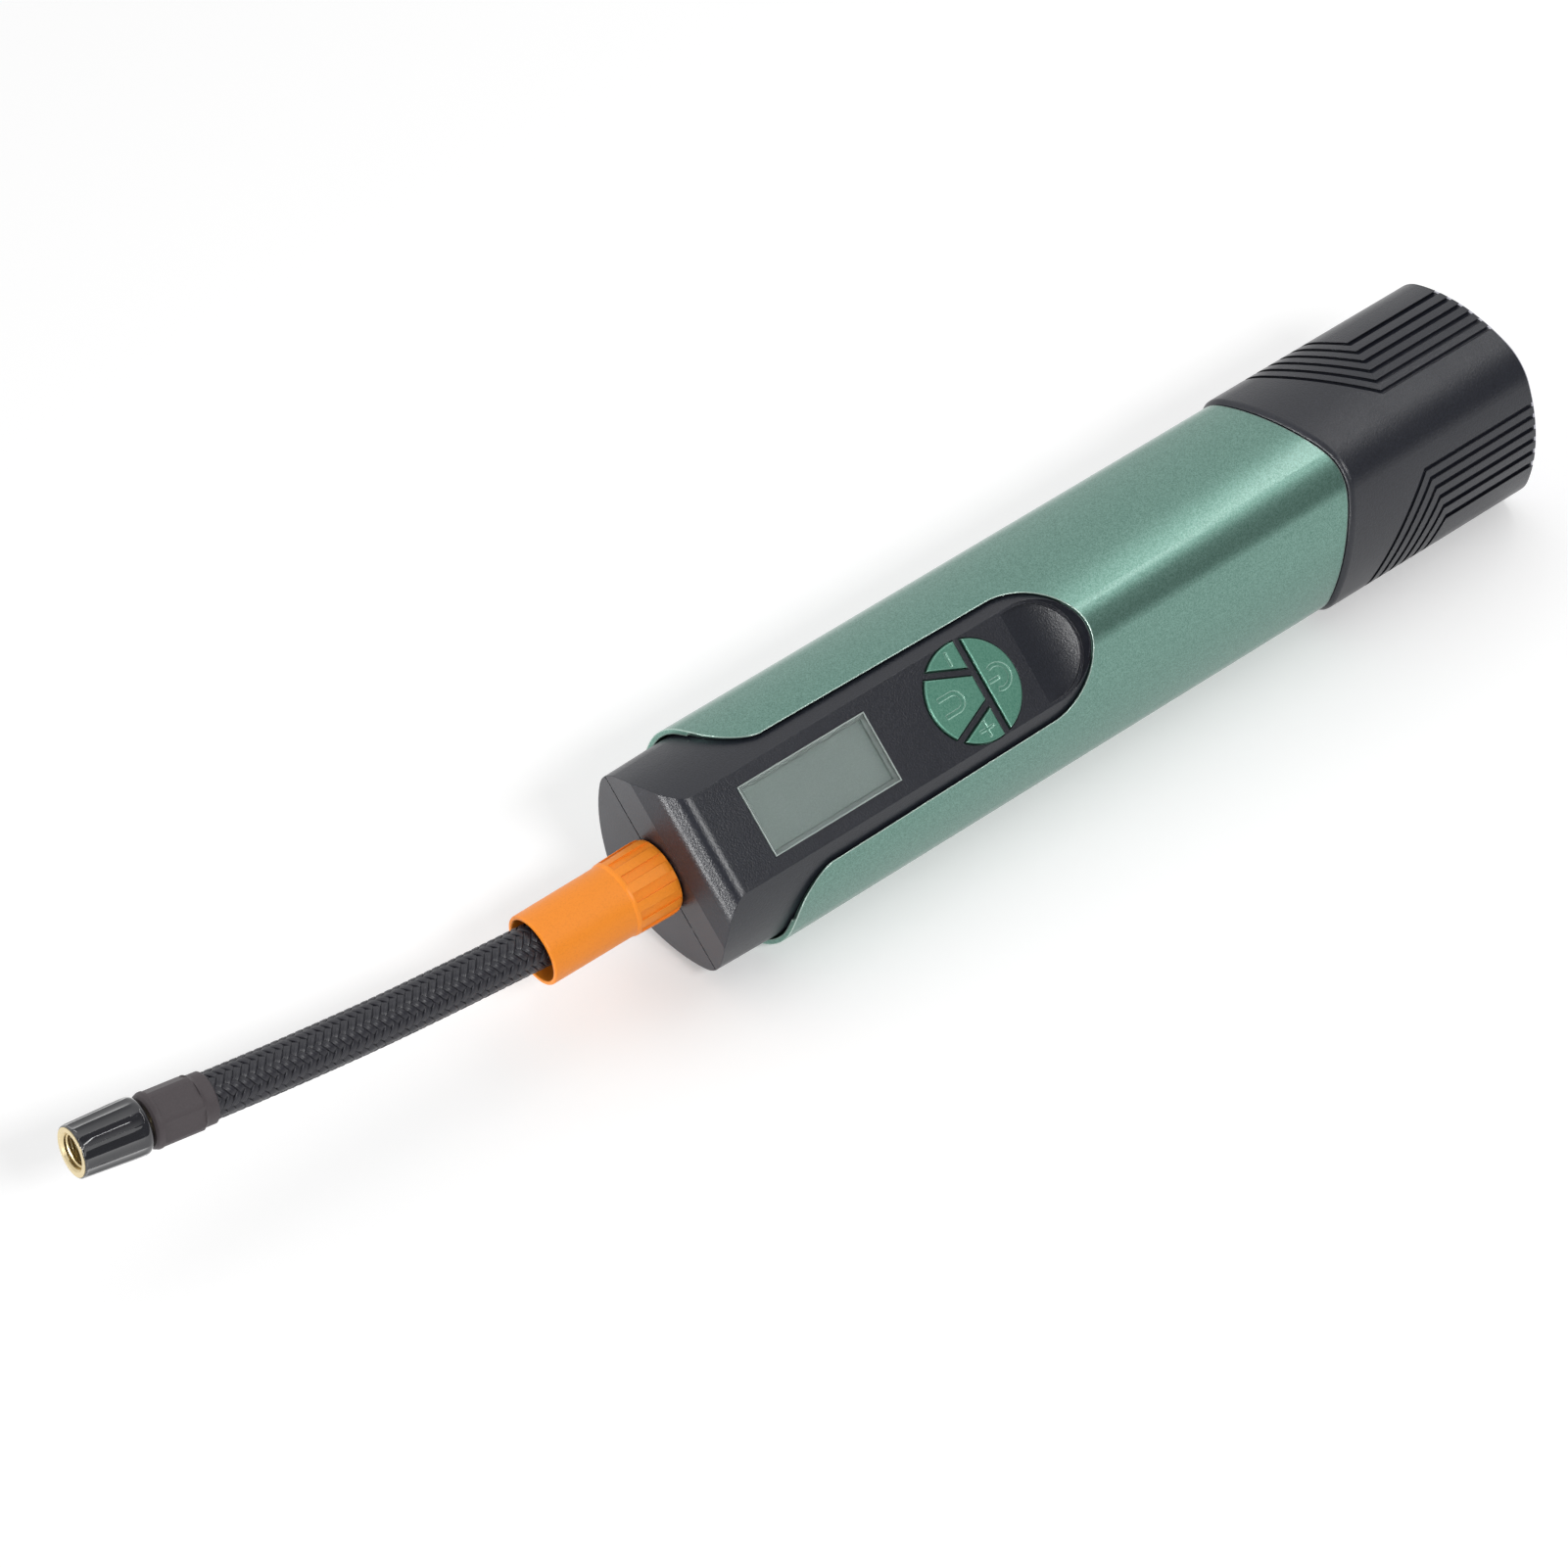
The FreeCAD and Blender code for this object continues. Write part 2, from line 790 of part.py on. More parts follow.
def slanted(side, offset, z0, z1):
    """Block on the outer side of a slanted rib's centre line, moved outwards by offset."""
    angle = math.radians(rib_angle)
    x = buttons_x + bar_x
    y = side * rib_y
    along = Vec(-math.cos(angle), side * math.sin(angle), 0)
    outward = Vec(math.sin(angle), side * math.cos(angle), 0)
    start = Vec(x, y, z0) + outward * offset - along * far
    points = [
        start,
        start + along * 2 * far,
        start + along * 2 * far + outward * far,
        start + outward * far,
    ]
    return outline_prism(points, Vec(0, 0, z1 - z0))


def button_piece(kind, grow, z0, z1):
    """Plan of one button, grown by grow all round, between two heights."""
    disc = rod_z(z0, z1, buttons_radius + grow, buttons_x)
    reach = bar_width / 2 + button_gap - grow
    behind = box(buttons_x + bar_x + reach, buttons_x + far, -far, far, z0, z1)
    ahead = box(buttons_x - far, buttons_x + bar_x - reach, -far, far, z0, z1)
    if kind == "power":
        return disc.common(behind)
    piece = disc.common(ahead)
    if kind == "minus":
        return piece.common(slanted(1, reach, z0, z1))
    if kind == "plus":
        return piece.common(slanted(-1, reach, z0, z1))
    return cut(piece, slanted(1, -reach, z0, z1), slanted(-1, -reach, z0, z1))


BUTTONS = {
    "power": (7.4, 0.0),
    "unit": (-5.0, 0.0),
    "minus": (-1.6, 8.5),
    "plus": (-1.6, -8.5),
}


def button(kind):
    """Cap that fills its hole, with a lip under the panel and a stem over its switch."""
    cap = button_piece(kind, 0, flange_top - 0.1, button_top)
    rim = [edge for edge in cap.Edges if edge.BoundBox.ZMin > button_top - 0.01]
    cap = cap.makeFillet(button_round, rim)
    lip = button_piece(kind, button_flange_lip + button_gap, flange_top - button_flange, flange_top)
    x, y = BUTTONS[kind]
    stem = rod_z(stem_low, flange_top, stem_radius, buttons_x + x, y)
    return fuse([cap, lip, stem])


def main_board():
    board = box(main_board_front, main_board_rear, -main_board_half, main_board_half,
                main_board_top - board_thickness, main_board_top)
    for x, y in board_places():
        board = board.cut(rod_z(0, far, board_screw_radius + 0.1, x, y))
    return board


def tact_switches():
    switches = []
    for x, y in BUTTONS.values():
        x += buttons_x
        half = switch_size / 2
        top = main_board_top + switch_height
        body = box(x - half, x + half, y - half, y + half, main_board_top, top)
        switches.append(body.fuse(rod_z(top, top + plunger_height, stem_radius, x, y)))
    return Part.makeCompound(switches)


def screw_z(head_low, tip, radius, head, x, y):
    """Screw along z; its head lies below head_low and its tip points up."""
    shank = rod_z(head_low, tip, radius, x, y)
    cap = rod_z(head_low - screw_head_height, head_low, head, x, y)
    slot = box(x - head, x + head, y - 0.25, y + 0.25, head_low - screw_head_height - 1,
               head_low - screw_head_height + 0.6)
    return shank.fuse(cap).removeSplitter().cut(slot)


def case_screws():
    half = case_screw_length / 2
    return Part.makeCompound([
        screw_z(-half, half - 0.3, case_screw_radius, case_screw_head, x, y)
        for x, y in case_places()
    ])


def board_screws():
    low = main_board_top - board_thickness
    return Part.makeCompound([
        screw_z(low, low + board_screw_length, board_screw_radius, board_screw_head, x, y)
        for x, y in board_places()
    ])


def cap_screws():
    seat = cap_bulkhead_x + cap_bulkhead
    screws = []
    for y, z in cap_screw_places():
        shank = rod_x(shell_end - cap_post_length + 0.3, seat, cap_screw_radius, y, z)
        head = rod_x(seat, seat + cap_head_height, cap_screw_head, y, z)
        slot = box(seat + cap_head_height - 0.6, seat + far, y - 0.3, y + 0.3,
                   z - cap_screw_head, z + cap_screw_head)
        screws.append(shank.fuse(head).removeSplitter().cut(slot))
    return Part.makeCompound(screws)


def groove_strip(index, side):
    """One chevron groove in plan: a leg to the rear and a leg slanting forward."""
    y = groove_first + index * groove_pitch
    x = groove_bend_x + index * groove_bend_step
    half = groove_width / 2
    angle = math.radians(groove_angle)
    rear = box(x, cap_end + far, y - half, y + half, -far, far)
    bend = rod_z(-far, far, half, x, y)
    along = Vec(-math.sin(angle), math.cos(angle), 0)
    across = Vec(math.cos(angle), math.sin(angle), 0)
    start = Vec(x, y, -far)
    points = [
        start - across * half,
        start + across * half,
        start + across * half + along * far,
        start - across * half + along * far,
    ]
    leg = outline_prism(points, Vec(0, 0, 2 * far))
    strip = fuse([rear, bend, leg])
    if side < 0:
        strip = strip.mirror(Vec(0, 0, 0), Y_AXIS)
    return strip


def rear_cap():
    outer = sleeve_bar(seam_crown - 20, cap_end, -cap_step)
    outer = outer.common(behind_seam(seam_gap / 2))
    seam_edges = []
    for edge in outer.Edges:
        bounds = edge.BoundBox
        if bounds.XMax < seam_crown + 1 and bounds.XMin > seam_crown - 20 + 1:
            if not straight_along_x(edge):
                seam_edges.append(edge)
    outer = outer.makeFillet(cap_front_round, seam_edges)
    skin = sleeve_bar(seam_crown - 30, cap_end + 1, groove_depth - cap_step)
    strips = [groove_strip(index, side) for index in range(groove_count) for side in (-1, 1)]
    grooves = [strip.common(outer).cut(skin) for strip in strips]
    cap = cut(outer, *grooves)
    inner = cap_wall - cap_step
    cap = cap.cut(sleeve_bar(seam_crown - 30, cap_bulkhead_x, inner))
    cap = cap.cut(sleeve_bar(cap_bulkhead_x + cap_bulkhead, cap_end + 1, inner))
    for y, z in cap_screw_places():
        boss = rod_x(shell_end + seat_gap, cap_bulkhead_x, cap_post_radius, y, z)
        cap = cap.fuse(boss)
    cap = cap.removeSplitter()
    cap = cap.cut(rod_x(cap_bulkhead_x - 1, cap_end, lamp_radius + lamp_room))
    cap = cap.cut(socket_block(2 * socket_gap, cap_bulkhead_x - 1, cap_end))
    for y, z in cap_screw_places():
        cap = cap.cut(rod_x(shell_end, cap_end, cap_screw_radius + screw_gap, y, z))
    return cap


def straight_along_x(edge):
    ends = [vertex.Point for vertex in edge.Vertexes]
    if len(ends) < 2:
        return False
    return abs(ends[0].y - ends[1].y) < 0.001 and abs(ends[0].z - ends[1].z) < 0.001


def socket_block(grow, x0, x1):
    half = socket_width / 2 + grow
    high = socket_height / 2 + grow
    return box(x0, x1, -half, half, socket_z - high, socket_z + high)


def rear_plate():
    """Light end plate snapped into the cap, with seats for the lamp and the charging socket."""
    inner = cap_wall - cap_step + 0.1
    inside = sleeve_bar(cap_end - plate_depth, cap_end, inner)
    proud = sleeve_bar(cap_end, cap_end + plate_proud, corner_half - plate_half)
    rim = [edge for edge in proud.Edges if edge.BoundBox.XMin > cap_end + plate_proud - 0.01]
    proud = proud.makeFillet(plate_round, rim)
    plate = inside.fuse(proud).removeSplitter()
    plate = plate.cut(rod_x(cap_end - plate_depth - 1, lens_face() - lens_lip, lamp_radius + lens_gap))
    plate = plate.cut(rod_x(cap_end - 1, cap_end + 2, lamp_radius - lens_ledge + lens_gap))
    return plate.cut(socket_block(socket_gap, cap_end - plate_depth - 1, cap_end + 2))


def lens_face():
    return cap_end + plate_proud - 0.2


def lamp_lens():
    low = lens_face() - lens_thickness
    flange = rod_x(low, lens_face() - lens_lip, lamp_radius)
    window = rod_x(low, lens_face(), lamp_radius - lens_ledge)
    return flange.fuse(window).removeSplitter()


def reflector_rear():
    return lens_face() - lens_thickness - reflector_length


def lamp_reflector():
    x1 = lens_face() - lens_thickness - 0.05
    x0 = reflector_rear()
    cone = Part.makeCone(reflector_neck + reflector_wall, lamp_radius, x1 - x0, Vec(x0, 0, 0), X_AXIS)
    hollow = Part.makeCone(reflector_neck, lamp_radius - reflector_wall, x1 - x0, Vec(x0, 0, 0), X_AXIS)
    flange = rod_x(x1 - 1.0, x1, lamp_radius).cut(rod_x(x1 - 2, x1 + 1, lamp_radius - reflector_wall))
    return cone.cut(hollow).fuse(flange).removeSplitter()


def lamp_board():
    x1 = reflector_rear() - 0.05
    return rod_x(x1 - board_thickness, x1, lamp_radius - 2)


def lamp_led():
    x0 = reflector_rear() - 0.05
    half = led_size / 2
    return box(x0, x0 + led_height, -half, half, -half, half)


def charge_board():
    top = socket_z - socket_height / 2
    return box(shell_end + 1.5, cap_bulkhead_x - 0.1, -6.5, 6.5, top - board_thickness, top)


def charge_socket():
    x1 = cap_end + plate_proud - 0.2
    shell = socket_block(0, x1 - socket_depth, x1)
    hollow = socket_block(-0.35, x1 - socket_depth + 1, x1 + 1)
    tongue = box(x1 - socket_depth, x1 - 0.8, -socket_width / 2 + 1.4, socket_width / 2 - 1.4,
                 socket_z - 0.35, socket_z + 0.35)
    return shell.cut(hollow).fuse(tongue).removeSplitter()


def turned(points):
    """Solid of revolution about the x axis from a closed outline of (x, radius) points."""
    vectors = [Vec(x, 0, radius) for x, radius in points]
    face = Part.Face(Part.makePolygon(vectors + [vectors[0]]))
    return face.revolve(Vec(0, 0, 0), X_AXIS, 360)


def hose_nut():
    rear = -nut_gap
    step = nut_ribbed_radius - nut_smooth_radius
    outside = [
        (rear, nut_ribbed_radius - 1.0),
        (rear - 0.35, nut_ribbed_radius - 0.45),
        (rear - 1.1, nut_ribbed_radius - 0.1),
        (rear - 2.2, nut_ribbed_radius),
        (rear - 6.0, nut_ribbed_radius - 0.05),
        (nut_shoulder + 0.5, nut_ribbed_radius - 0.22),
        (nut_shoulder, nut_ribbed_radius - 0.35),
        (nut_shoulder - 0.3, nut_smooth_radius - 0.02),
        (nut_shoulder - 2.5, nut_smooth_radius - 0.06),
        (nut_shoulder - 6.0, nut_smooth_radius - step / 8),
        (nut_mouth + 0.4, nut_mouth_radius),
        (nut_mouth + 0.1, nut_mouth_radius - 0.1),
        (nut_mouth, nut_mouth_radius - 0.35),
    ]
    cavity = nut_mouth_radius - nut_wall
    ledge = hose_start - 0.1
    inside = [
        (nut_mouth, cavity + 0.15),
        (nut_mouth + 0.25, cavity),
        (ledge - nut_ledge, cavity - 0.15),
        (ledge - nut_ledge, hose_radius + 0.25),
        (ledge, hose_radius + 0.25),
        (ledge, thread_radius + thread_clearance),
        (rear, thread_radius + thread_clearance),
    ]
    nut = turned(outside + inside)
    floor = nut_ribbed_radius - flute_depth
    for index in range(flute_count):
        angle = flute_phase + index * 360 / flute_count
        flute = box(rear - flute_length, 1, -flute_width / 2, flute_width / 2, floor, far)
        flute.rotate(Vec(0, 0, 0), X_AXIS, -angle)
        nut = nut.cut(flute)
    return nut


def outlet_fitting():
    flange_end = front_wall + outlet_flange_thickness
    body = fuse([
        rod_x(spigot_end, front_wall, thread_radius),
        rod_x(front_wall, flange_end, outlet_flange).common(
            box(0, far, -far, far, -far, bevel_start - panel_wall - seat_gap)),
        box(flange_end, outlet_body_end, -outlet_body_radius, outlet_body_radius,
            -outlet_body_radius, outlet_body_radius),
        rod_x(outlet_body_end, outlet_body_end + barb_length, barb_radius),
    ])
    seat = tail_plug_radius + tail_clearance
    body = body.cut(rod_x(spigot_end - 1, spigot_end + tail_plug_length + 0.5, seat))
    body = body.cut(rod_x(spigot_end, outlet_body_end - 3, air_bore))
    body = body.cut(rod_x(0, outlet_body_end + barb_length + 1, barb_bore))
    sensor_hole = rod_z(0, far, barb_bore, (flange_end + outlet_body_end) / 2)
    return body.cut(sensor_hole)


def pressure_sensor():
    middle = (front_wall + outlet_flange_thickness + outlet_body_end) / 2
    half = outlet_body_radius - 1.5
    low = outlet_body_radius
    body = box(middle - half, middle + half, -half, half, low, low + sensor_height)
    return body.cut(rod_z(low - 1, low + 1, barb_bore, middle))


def hose_tail():
    barb_end = hose_start - barb_length - 2
    tail = fuse([
        rod_x(hose_start, spigot_end, thread_radius - 0.2),
        rod_x(spigot_end, spigot_end + tail_plug_length, tail_plug_radius),
        rod_x(barb_end, hose_start, hose_bore - tail_clearance),
    ])
    middle = spigot_end + tail_plug_length / 2
    groove = rod_x(middle - o_ring_thickness / 2 - 0.1, middle + o_ring_thickness / 2 + 0.1, far).cut(
        rod_x(middle - 2, middle + 2, o_ring_inner()))
    return tail.cut(groove).cut(rod_x(barb_end - 1, spigot_end + tail_plug_length + 1, barb_bore))


def o_ring_inner():
    return tail_plug_radius + tail_clearance - o_ring_thickness


def tail_o_ring():
    middle = spigot_end + tail_plug_length / 2
    ring_radius = o_ring_inner() + o_ring_thickness / 2
    return Part.makeTorus(ring_radius, o_ring_thickness / 2, Vec(middle, 0, 0), X_AXIS)


def hose_points():
    """Points of the hose's route in the local frame, out of the nut and into the ferrule."""
    tilt = math.radians(hose_plane_angle)
    flat = [(hose_start, 0.0)] + hose_route
    points = [Vec(x, s * math.cos(tilt), s * math.sin(tilt)) for x, s in flat]
    return points


def tip_direction():
    points = hose_points()
    return (points[-1] - points[-2]).normalize()


def tube(points, radius, bend):
    """Solid tube along straight runs joined by tangent arcs; prints its length and radii."""
    radii = []
    for index in range(1, len(points) - 1):
        back = points[index - 1] - points[index]
        ahead = points[index + 1] - points[index]
        half_turn = (math.pi - back.getAngle(ahead)) / 2
        shorter = min(back.Length, ahead.Length)
        radii.append(bend if bend else bend_share * shorter / math.tan(half_turn))
    path = Part.Wire(rounded_path(points, radii))
    start = (points[1] - points[0]).normalize()
    circle = Part.Wire(Part.makeCircle(radius, points[0], start))
    solid = path.makePipeShell([circle], True, True)
    return solid, path.Length, radii


def hose():
    points = hose_points()
    points[-1] = points[-1] + tip_direction() * ferrule_grip
    outer, length, radii = tube(points, hose_radius, None)
    inner = tube(points, hose_bore, None)[0]
    ring = math.pi * (hose_radius ** 2 - hose_bore ** 2)
    result = outer.cut(inner)
    print("hose length", round(length, 2), "radii", [round(radius, 1) for radius in radii])
    print("hose volume", round(result.Volume, 1), "section by length", round(ring * length, 1))
    return result


def at_tip(shape):
    """Moves a piece built along +x from the ferrule's rear face to the end of the hose."""
    turn = FreeCAD.Rotation(X_AXIS, tip_direction())
    shape.Placement = FreeCAD.Placement(hose_points()[-1], turn).multiply(shape.Placement)
    return shape


def hose_ferrule():
    body = turned([
        (0, 0), (0, ferrule_collar_radius - 0.25), (0.25, ferrule_collar_radius),
        (ferrule_collar, ferrule_collar_radius), (ferrule_collar + 0.5, ferrule_radius - 0.35),
        (ferrule_collar + 1.0, ferrule_radius), (ferrule_length - 1.3, ferrule_radius),
        (ferrule_length - 0.5, ferrule_radius - 0.35), (ferrule_length, ferrule_radius - 0.9),
        (ferrule_length, 0),
    ])
    flat_start = ferrule_collar + 0.8
    flat_end = ferrule_length - 1.8
    for index in range(6):
        flat = box(flat_start, flat_end, -far, far, ferrule_flats / 2, far)
        flat.rotate(Vec(0, 0, 0), X_AXIS, ferrule_turn + index * 60)
        body = body.cut(flat)
    body = body.cut(rod_x(-1, ferrule_grip, hose_radius))
    body = body.cut(rod_x(ferrule_grip - 1, ferrule_length + 1, stem_outer))
    return at_tip(body)


def chuck_start():
    return ferrule_length + chuck_gap


def chuck_end():
    return chuck_start() + chuck_length


def chuck_stem():
    """Brass stem: a barb in the hose, a neck through the ferrule and a head in the chuck."""
    head_start = chuck_start() + stem_seat
    body = fuse([
        rod_x(ferrule_grip - barb_length, ferrule_grip, hose_bore - tail_clearance),
        rod_x(ferrule_grip, head_start, stem_outer),
        rod_x(head_start, head_start + stem_head_length, stem_head_radius),
    ])
    return at_tip(body.cut(rod_x(0, chuck_end(), barb_bore)))


def seal_place():
    return chuck_start() + stem_seat + stem_head_length


def chuck_insert():
    """Brass cup that turns on the stem's head; its mouth has the tyre valve thread."""
    rear = chuck_start() + 0.6
    face = chuck_end() + insert_proud
    body = rod_x(rear, face, insert_radius)
    rim = rod_x(face - insert_flange, face, insert_flange_radius)
    body = body.fuse(rim).removeSplitter()
    body = body.cut(rod_x(rear - 1, face + 1, stem_outer + stem_clearance))
    head_room = rod_x(chuck_start() + stem_seat - stem_clearance, seal_place() + seal_thickness,
                      stem_head_radius + stem_clearance)
    bore = rod_x(seal_place() + seal_thickness - 0.01, face + 1, valve_thread_radius)
    lead = Part.makeCone(valve_thread_radius, valve_thread_radius + thread_lead, thread_lead,
                         Vec(face - thread_lead, 0, 0), X_AXIS)
    return at_tip(cut(body, head_room, bore, lead))


def chuck_sleeve():
    rear = chuck_start()
    front = chuck_end()
    body = turned([
        (rear, 0), (rear, chuck_rear_radius - 0.75), (rear + 0.2, chuck_rear_radius - 0.4),
        (rear + 0.7, chuck_rear_radius - 0.1), (rear + 1.6, chuck_rear_radius),
        (front - 0.5, chuck_front_radius), (front, chuck_front_radius - 0.35), (front, 0),
    ])
    lean = math.degrees(math.atan((chuck_rear_radius - chuck_front_radius) / chuck_length))
    for index in range(chuck_flats):
        flat = box(-far, far, -far, far, 0, far)
        flat.rotate(Vec(0, 0, 0), Y_AXIS, lean)
        flat.translate(Vec(rear + 1.6, 0, chuck_rear_radius - chuck_flat_depth))
        flat.rotate(Vec(0, 0, 0), X_AXIS, (index + 0.5) * 360 / chuck_flats)
        flat = flat.common(rod_x(rear + 0.9, front + 1, far))
        body = body.cut(flat)
    seat = rod_x(rear + 0.6, front + 1, insert_radius)
    recess = rod_x(front + insert_proud - insert_flange, front + 1, insert_flange_radius)
    hole = rod_x(rear - 1, rear + 1, stem_outer + 0.3)
    return at_tip(cut(body, seat, recess, hole))


def chuck_seal():
    x0 = seal_place()
    ring = rod_x(x0, x0 + seal_thickness, stem_head_radius).cut(
        rod_x(x0 - 1, x0 + 2 * seal_thickness, pin_radius + 0.7))
    return at_tip(ring)


def valve_pin():
    """Cross-topped pin in the stem's head that opens the tyre valve."""
    x0 = seal_place()
    pin = rod_x(x0, x0 + pin_length, pin_radius)
    spider = box(x0 - 0.9, x0, -barb_bore * 2, barb_bore * 2, -0.35, 0.35)
    shank = rod_x(x0 - 1.6, x0, barb_bore)
    notch = box(x0 - 2, x0 - 0.01, -0.3, 0.3, -far, far)
    return at_tip(pin.fuse(shank.cut(notch)).removeSplitter().cut(spider.common(notch)))


def gear_outline(teeth, thin):
    """Closed outline of a spur gear in (y, z): straight-sided teeth, thinned for backlash."""
    pitch = teeth * tooth_module / 2
    tip = pitch + tooth_module
    root = pitch - 1.25 * tooth_module
    half = math.pi * tooth_module / 4 - thin
    lean = math.tan(math.radians(20))
    points = []
    for index in range(teeth):
        middle = 2 * math.pi * index / teeth
        for side in (-1, 1):
            for level in ((root, tip) if side < 0 else (tip, root)):
                width = half - (level - pitch) * lean
                points.append((level, middle + side * width / level))
    return points


def gear(teeth, thin, x0, x1, y, phase):
    points = [Vec(x0, radius * math.cos(a + phase), radius * math.sin(a + phase))
              for radius, a in gear_outline(teeth, thin)]
    shape = outline_prism(points, Vec(x1 - x0, 0, 0))
    shape.translate(Vec(0, y, 0))
    return shape


def gear_x():
    return frame_x - frame_gap - gear_thickness


def crank_gear():
    """Large gear; a tooth gap faces the pinion at rest, and a weight balances the pin."""
    x0 = gear_x()
    half_tooth = math.pi / gear_teeth
    body = gear(gear_teeth, tooth_thin, x0, x0 + gear_thickness, crank_y, half_tooth)
    weight = rod_x(x0 - weight_thickness, x0, weight_radius, crank_y, 0).common(
        box(x0 - 5, x0, crank_y - far, crank_y + far, -far, -1.0))
    body = body.fuse(weight).removeSplitter()
    body = body.cut(rod_x(x0 - 5, frame_x, axle_radius + running_gap, crank_y, 0))
    return body.cut(rod_x(x0, frame_x, pin_size, crank_y, crank_throw))


def crank_pin():
    x1 = gear_x() + gear_thickness
    return rod_x(cylinder_x - rod_thickness / 2 - 0.6, x1, pin_size, crank_y, crank_throw)


def gear_axle():
    head = gear_x() - weight_thickness - 0.2
    pin = rod_x(head, frame_x + frame_thickness, axle_radius, crank_y, 0)
    return pin.fuse(rod_x(head - 0.7, head, axle_radius + 0.3, crank_y, 0)).removeSplitter()


def motor_pinion():
    x0 = gear_x()
    x1 = frame_x - frame_gap / 2
    body = gear(pinion_teeth, tooth_thin, x0, x1, motor_y, math.pi)
    return body.cut(rod_x(x0 - 1, x1 + 1, motor_shaft_radius, motor_y, 0))


def motor_shaft():
    return rod_x(gear_x(), motor_x + motor_length - shaft_back, motor_shaft_radius, motor_y, 0)


def motor_screw_places():
    return [(motor_y, motor_screw_offset), (motor_y, -motor_screw_offset)]


def motor_can():
    end = motor_x + motor_length
    boss_front = motor_x - motor_boss
    can = rod_x(motor_x, end, motor_radius, motor_y).fuse(
        rod_x(boss_front, motor_x, motor_boss_radius, motor_y)).removeSplitter()
    can = can.cut(rod_x(boss_front - 1, end + 1, motor_shaft_radius + running_gap, motor_y))
    for y, z in motor_screw_places():
        can = can.cut(rod_x(motor_x - 1, motor_x + motor_screw_depth, board_screw_radius, y, z))
    return can


def motor_end_cap():
    x0 = motor_x + motor_length
    disc = rod_x(x0, x0 + motor_cap_length, motor_radius - 0.3, motor_y)
    for side in (-1, 1):
        z = side * (motor_radius - 4)
        tab = box(x0 + motor_cap_length, x0 + motor_cap_length + 1.6, motor_y - 1.4, motor_y + 1.4,
                  z - 0.3, z + 0.3)
        disc = disc.fuse(tab)
    return disc.removeSplitter()


def motor_screws():
    screws = []
    for y, z in motor_screw_places():
        shank = rod_x(frame_x, motor_x + motor_screw_depth - 0.3, board_screw_radius, y, z)
        head = rod_x(frame_x - screw_head_height, frame_x, board_screw_head, y, z)
        slot = box(frame_x - far, frame_x - screw_head_height + 0.6, y - 0.25, y + 0.25,
                   z - board_screw_head, z + board_screw_head)
        screws.append(shank.fuse(head).removeSplitter().cut(slot))
    return Part.makeCompound(screws)


def pump_frame():
    """Plate across the case that carries the motor, and a block that clamps the cylinder."""
    ceiling = main_board_top - board_thickness - seat_gap
    plate = sleeve_bar(frame_x, frame_x + frame_thickness, core_inset + shell_wall + seat_gap)
    plate = plate.common(box(0, far * 3, -far, far, -far, ceiling))
    block_half = cylinder_radius() + block_wall
    block = box(cylinder_x - block_half, frame_x, block_low, cylinder_high - 0.3,
                -block_half, block_half)
    body = plate.fuse(block).removeSplitter()
    body = body.cut(rod_y(0, far, cylinder_radius() + running_gap, cylinder_x))
    tube_room = barb_radius + air_tube_wall + seat_gap
    body = body.cut(rod_x(0, cylinder_x - cylinder_radius(), tube_room, chamber_middle()))
    pinion_room = pinion_pitch_radius + tooth_module + 0.5
    body = body.cut(rod_x(gear_x() - 0.8, frame_x, pinion_room, motor_y))
    body = body.cut(rod_x(frame_x - 1, motor_x, motor_boss_radius + 0.05, motor_y))
    body = body.cut(rod_x(frame_x - 1, motor_x, axle_radius, crank_y))
    for y, z in motor_screw_places():
        body = body.cut(rod_x(frame_x - 2, motor_x, board_screw_radius + 0.1, y, z))
        body = body.cut(rod_x(frame_x - screw_head_height - 1, frame_x, board_screw_head + 0.3, y, z))
    for x, z in head_screw_places():
        body = body.cut(rod_y(cylinder_high - head_screw_depth, far, board_screw_radius, x, z))
    return body


def cylinder_radius():
    return bore_radius + cylinder_wall


def cylinder():
    body = rod_y(cylinder_low, cylinder_high, cylinder_radius(), cylinder_x)
    pitch = (block_low - cylinder_low) / fin_count
    for index in range(fin_count):
        y = cylinder_low + index * pitch + 0.3
        body = body.fuse(rod_y(y, y + fin_thickness, cylinder_radius() + fin_height, cylinder_x))
    return body.removeSplitter().cut(rod_y(cylinder_low - 1, cylinder_high + 1, bore_radius, cylinder_x))


def head_screw_places():
    reach = head_screw_reach
    return [(cylinder_x + i * reach, j * reach) for i in (-1, 1) for j in (-1, 1)]


def chamber_low():
    return cylinder_high + 0.8


def chamber_high():
    return cylinder_high + head_thickness - 0.6


def chamber_middle():
    return (chamber_low() + chamber_high()) / 2


def cylinder_head():
    half = cylinder_radius()
    high = cylinder_high + head_thickness
    body = box(cylinder_x - half, cylinder_x + half, cylinder_high, high, -half, half)
    corner_edges = [e for e in body.Edges if e.BoundBox.YLength > head_thickness - 0.01]
    body = body.makeFillet(1.2, corner_edges)
    middle = chamber_middle()
    barb = rod_x(cylinder_x - half - barb_length, cylinder_x - half + 1, barb_radius, middle)
    body = body.fuse(barb).removeSplitter()
    body = body.cut(rod_y(cylinder_high - 1, chamber_low() + 1, 1.0, cylinder_x))
    body = body.cut(rod_y(chamber_low(), chamber_high(), valve_radius + 0.3, cylinder_x))
    body = body.cut(rod_x(cylinder_x - half - barb_length - 1, cylinder_x, barb_bore, middle))
    for x, z in head_screw_places():
        body = body.cut(rod_y(cylinder_high - 1, high + 1, board_screw_radius + 0.1, x, z))
    return body


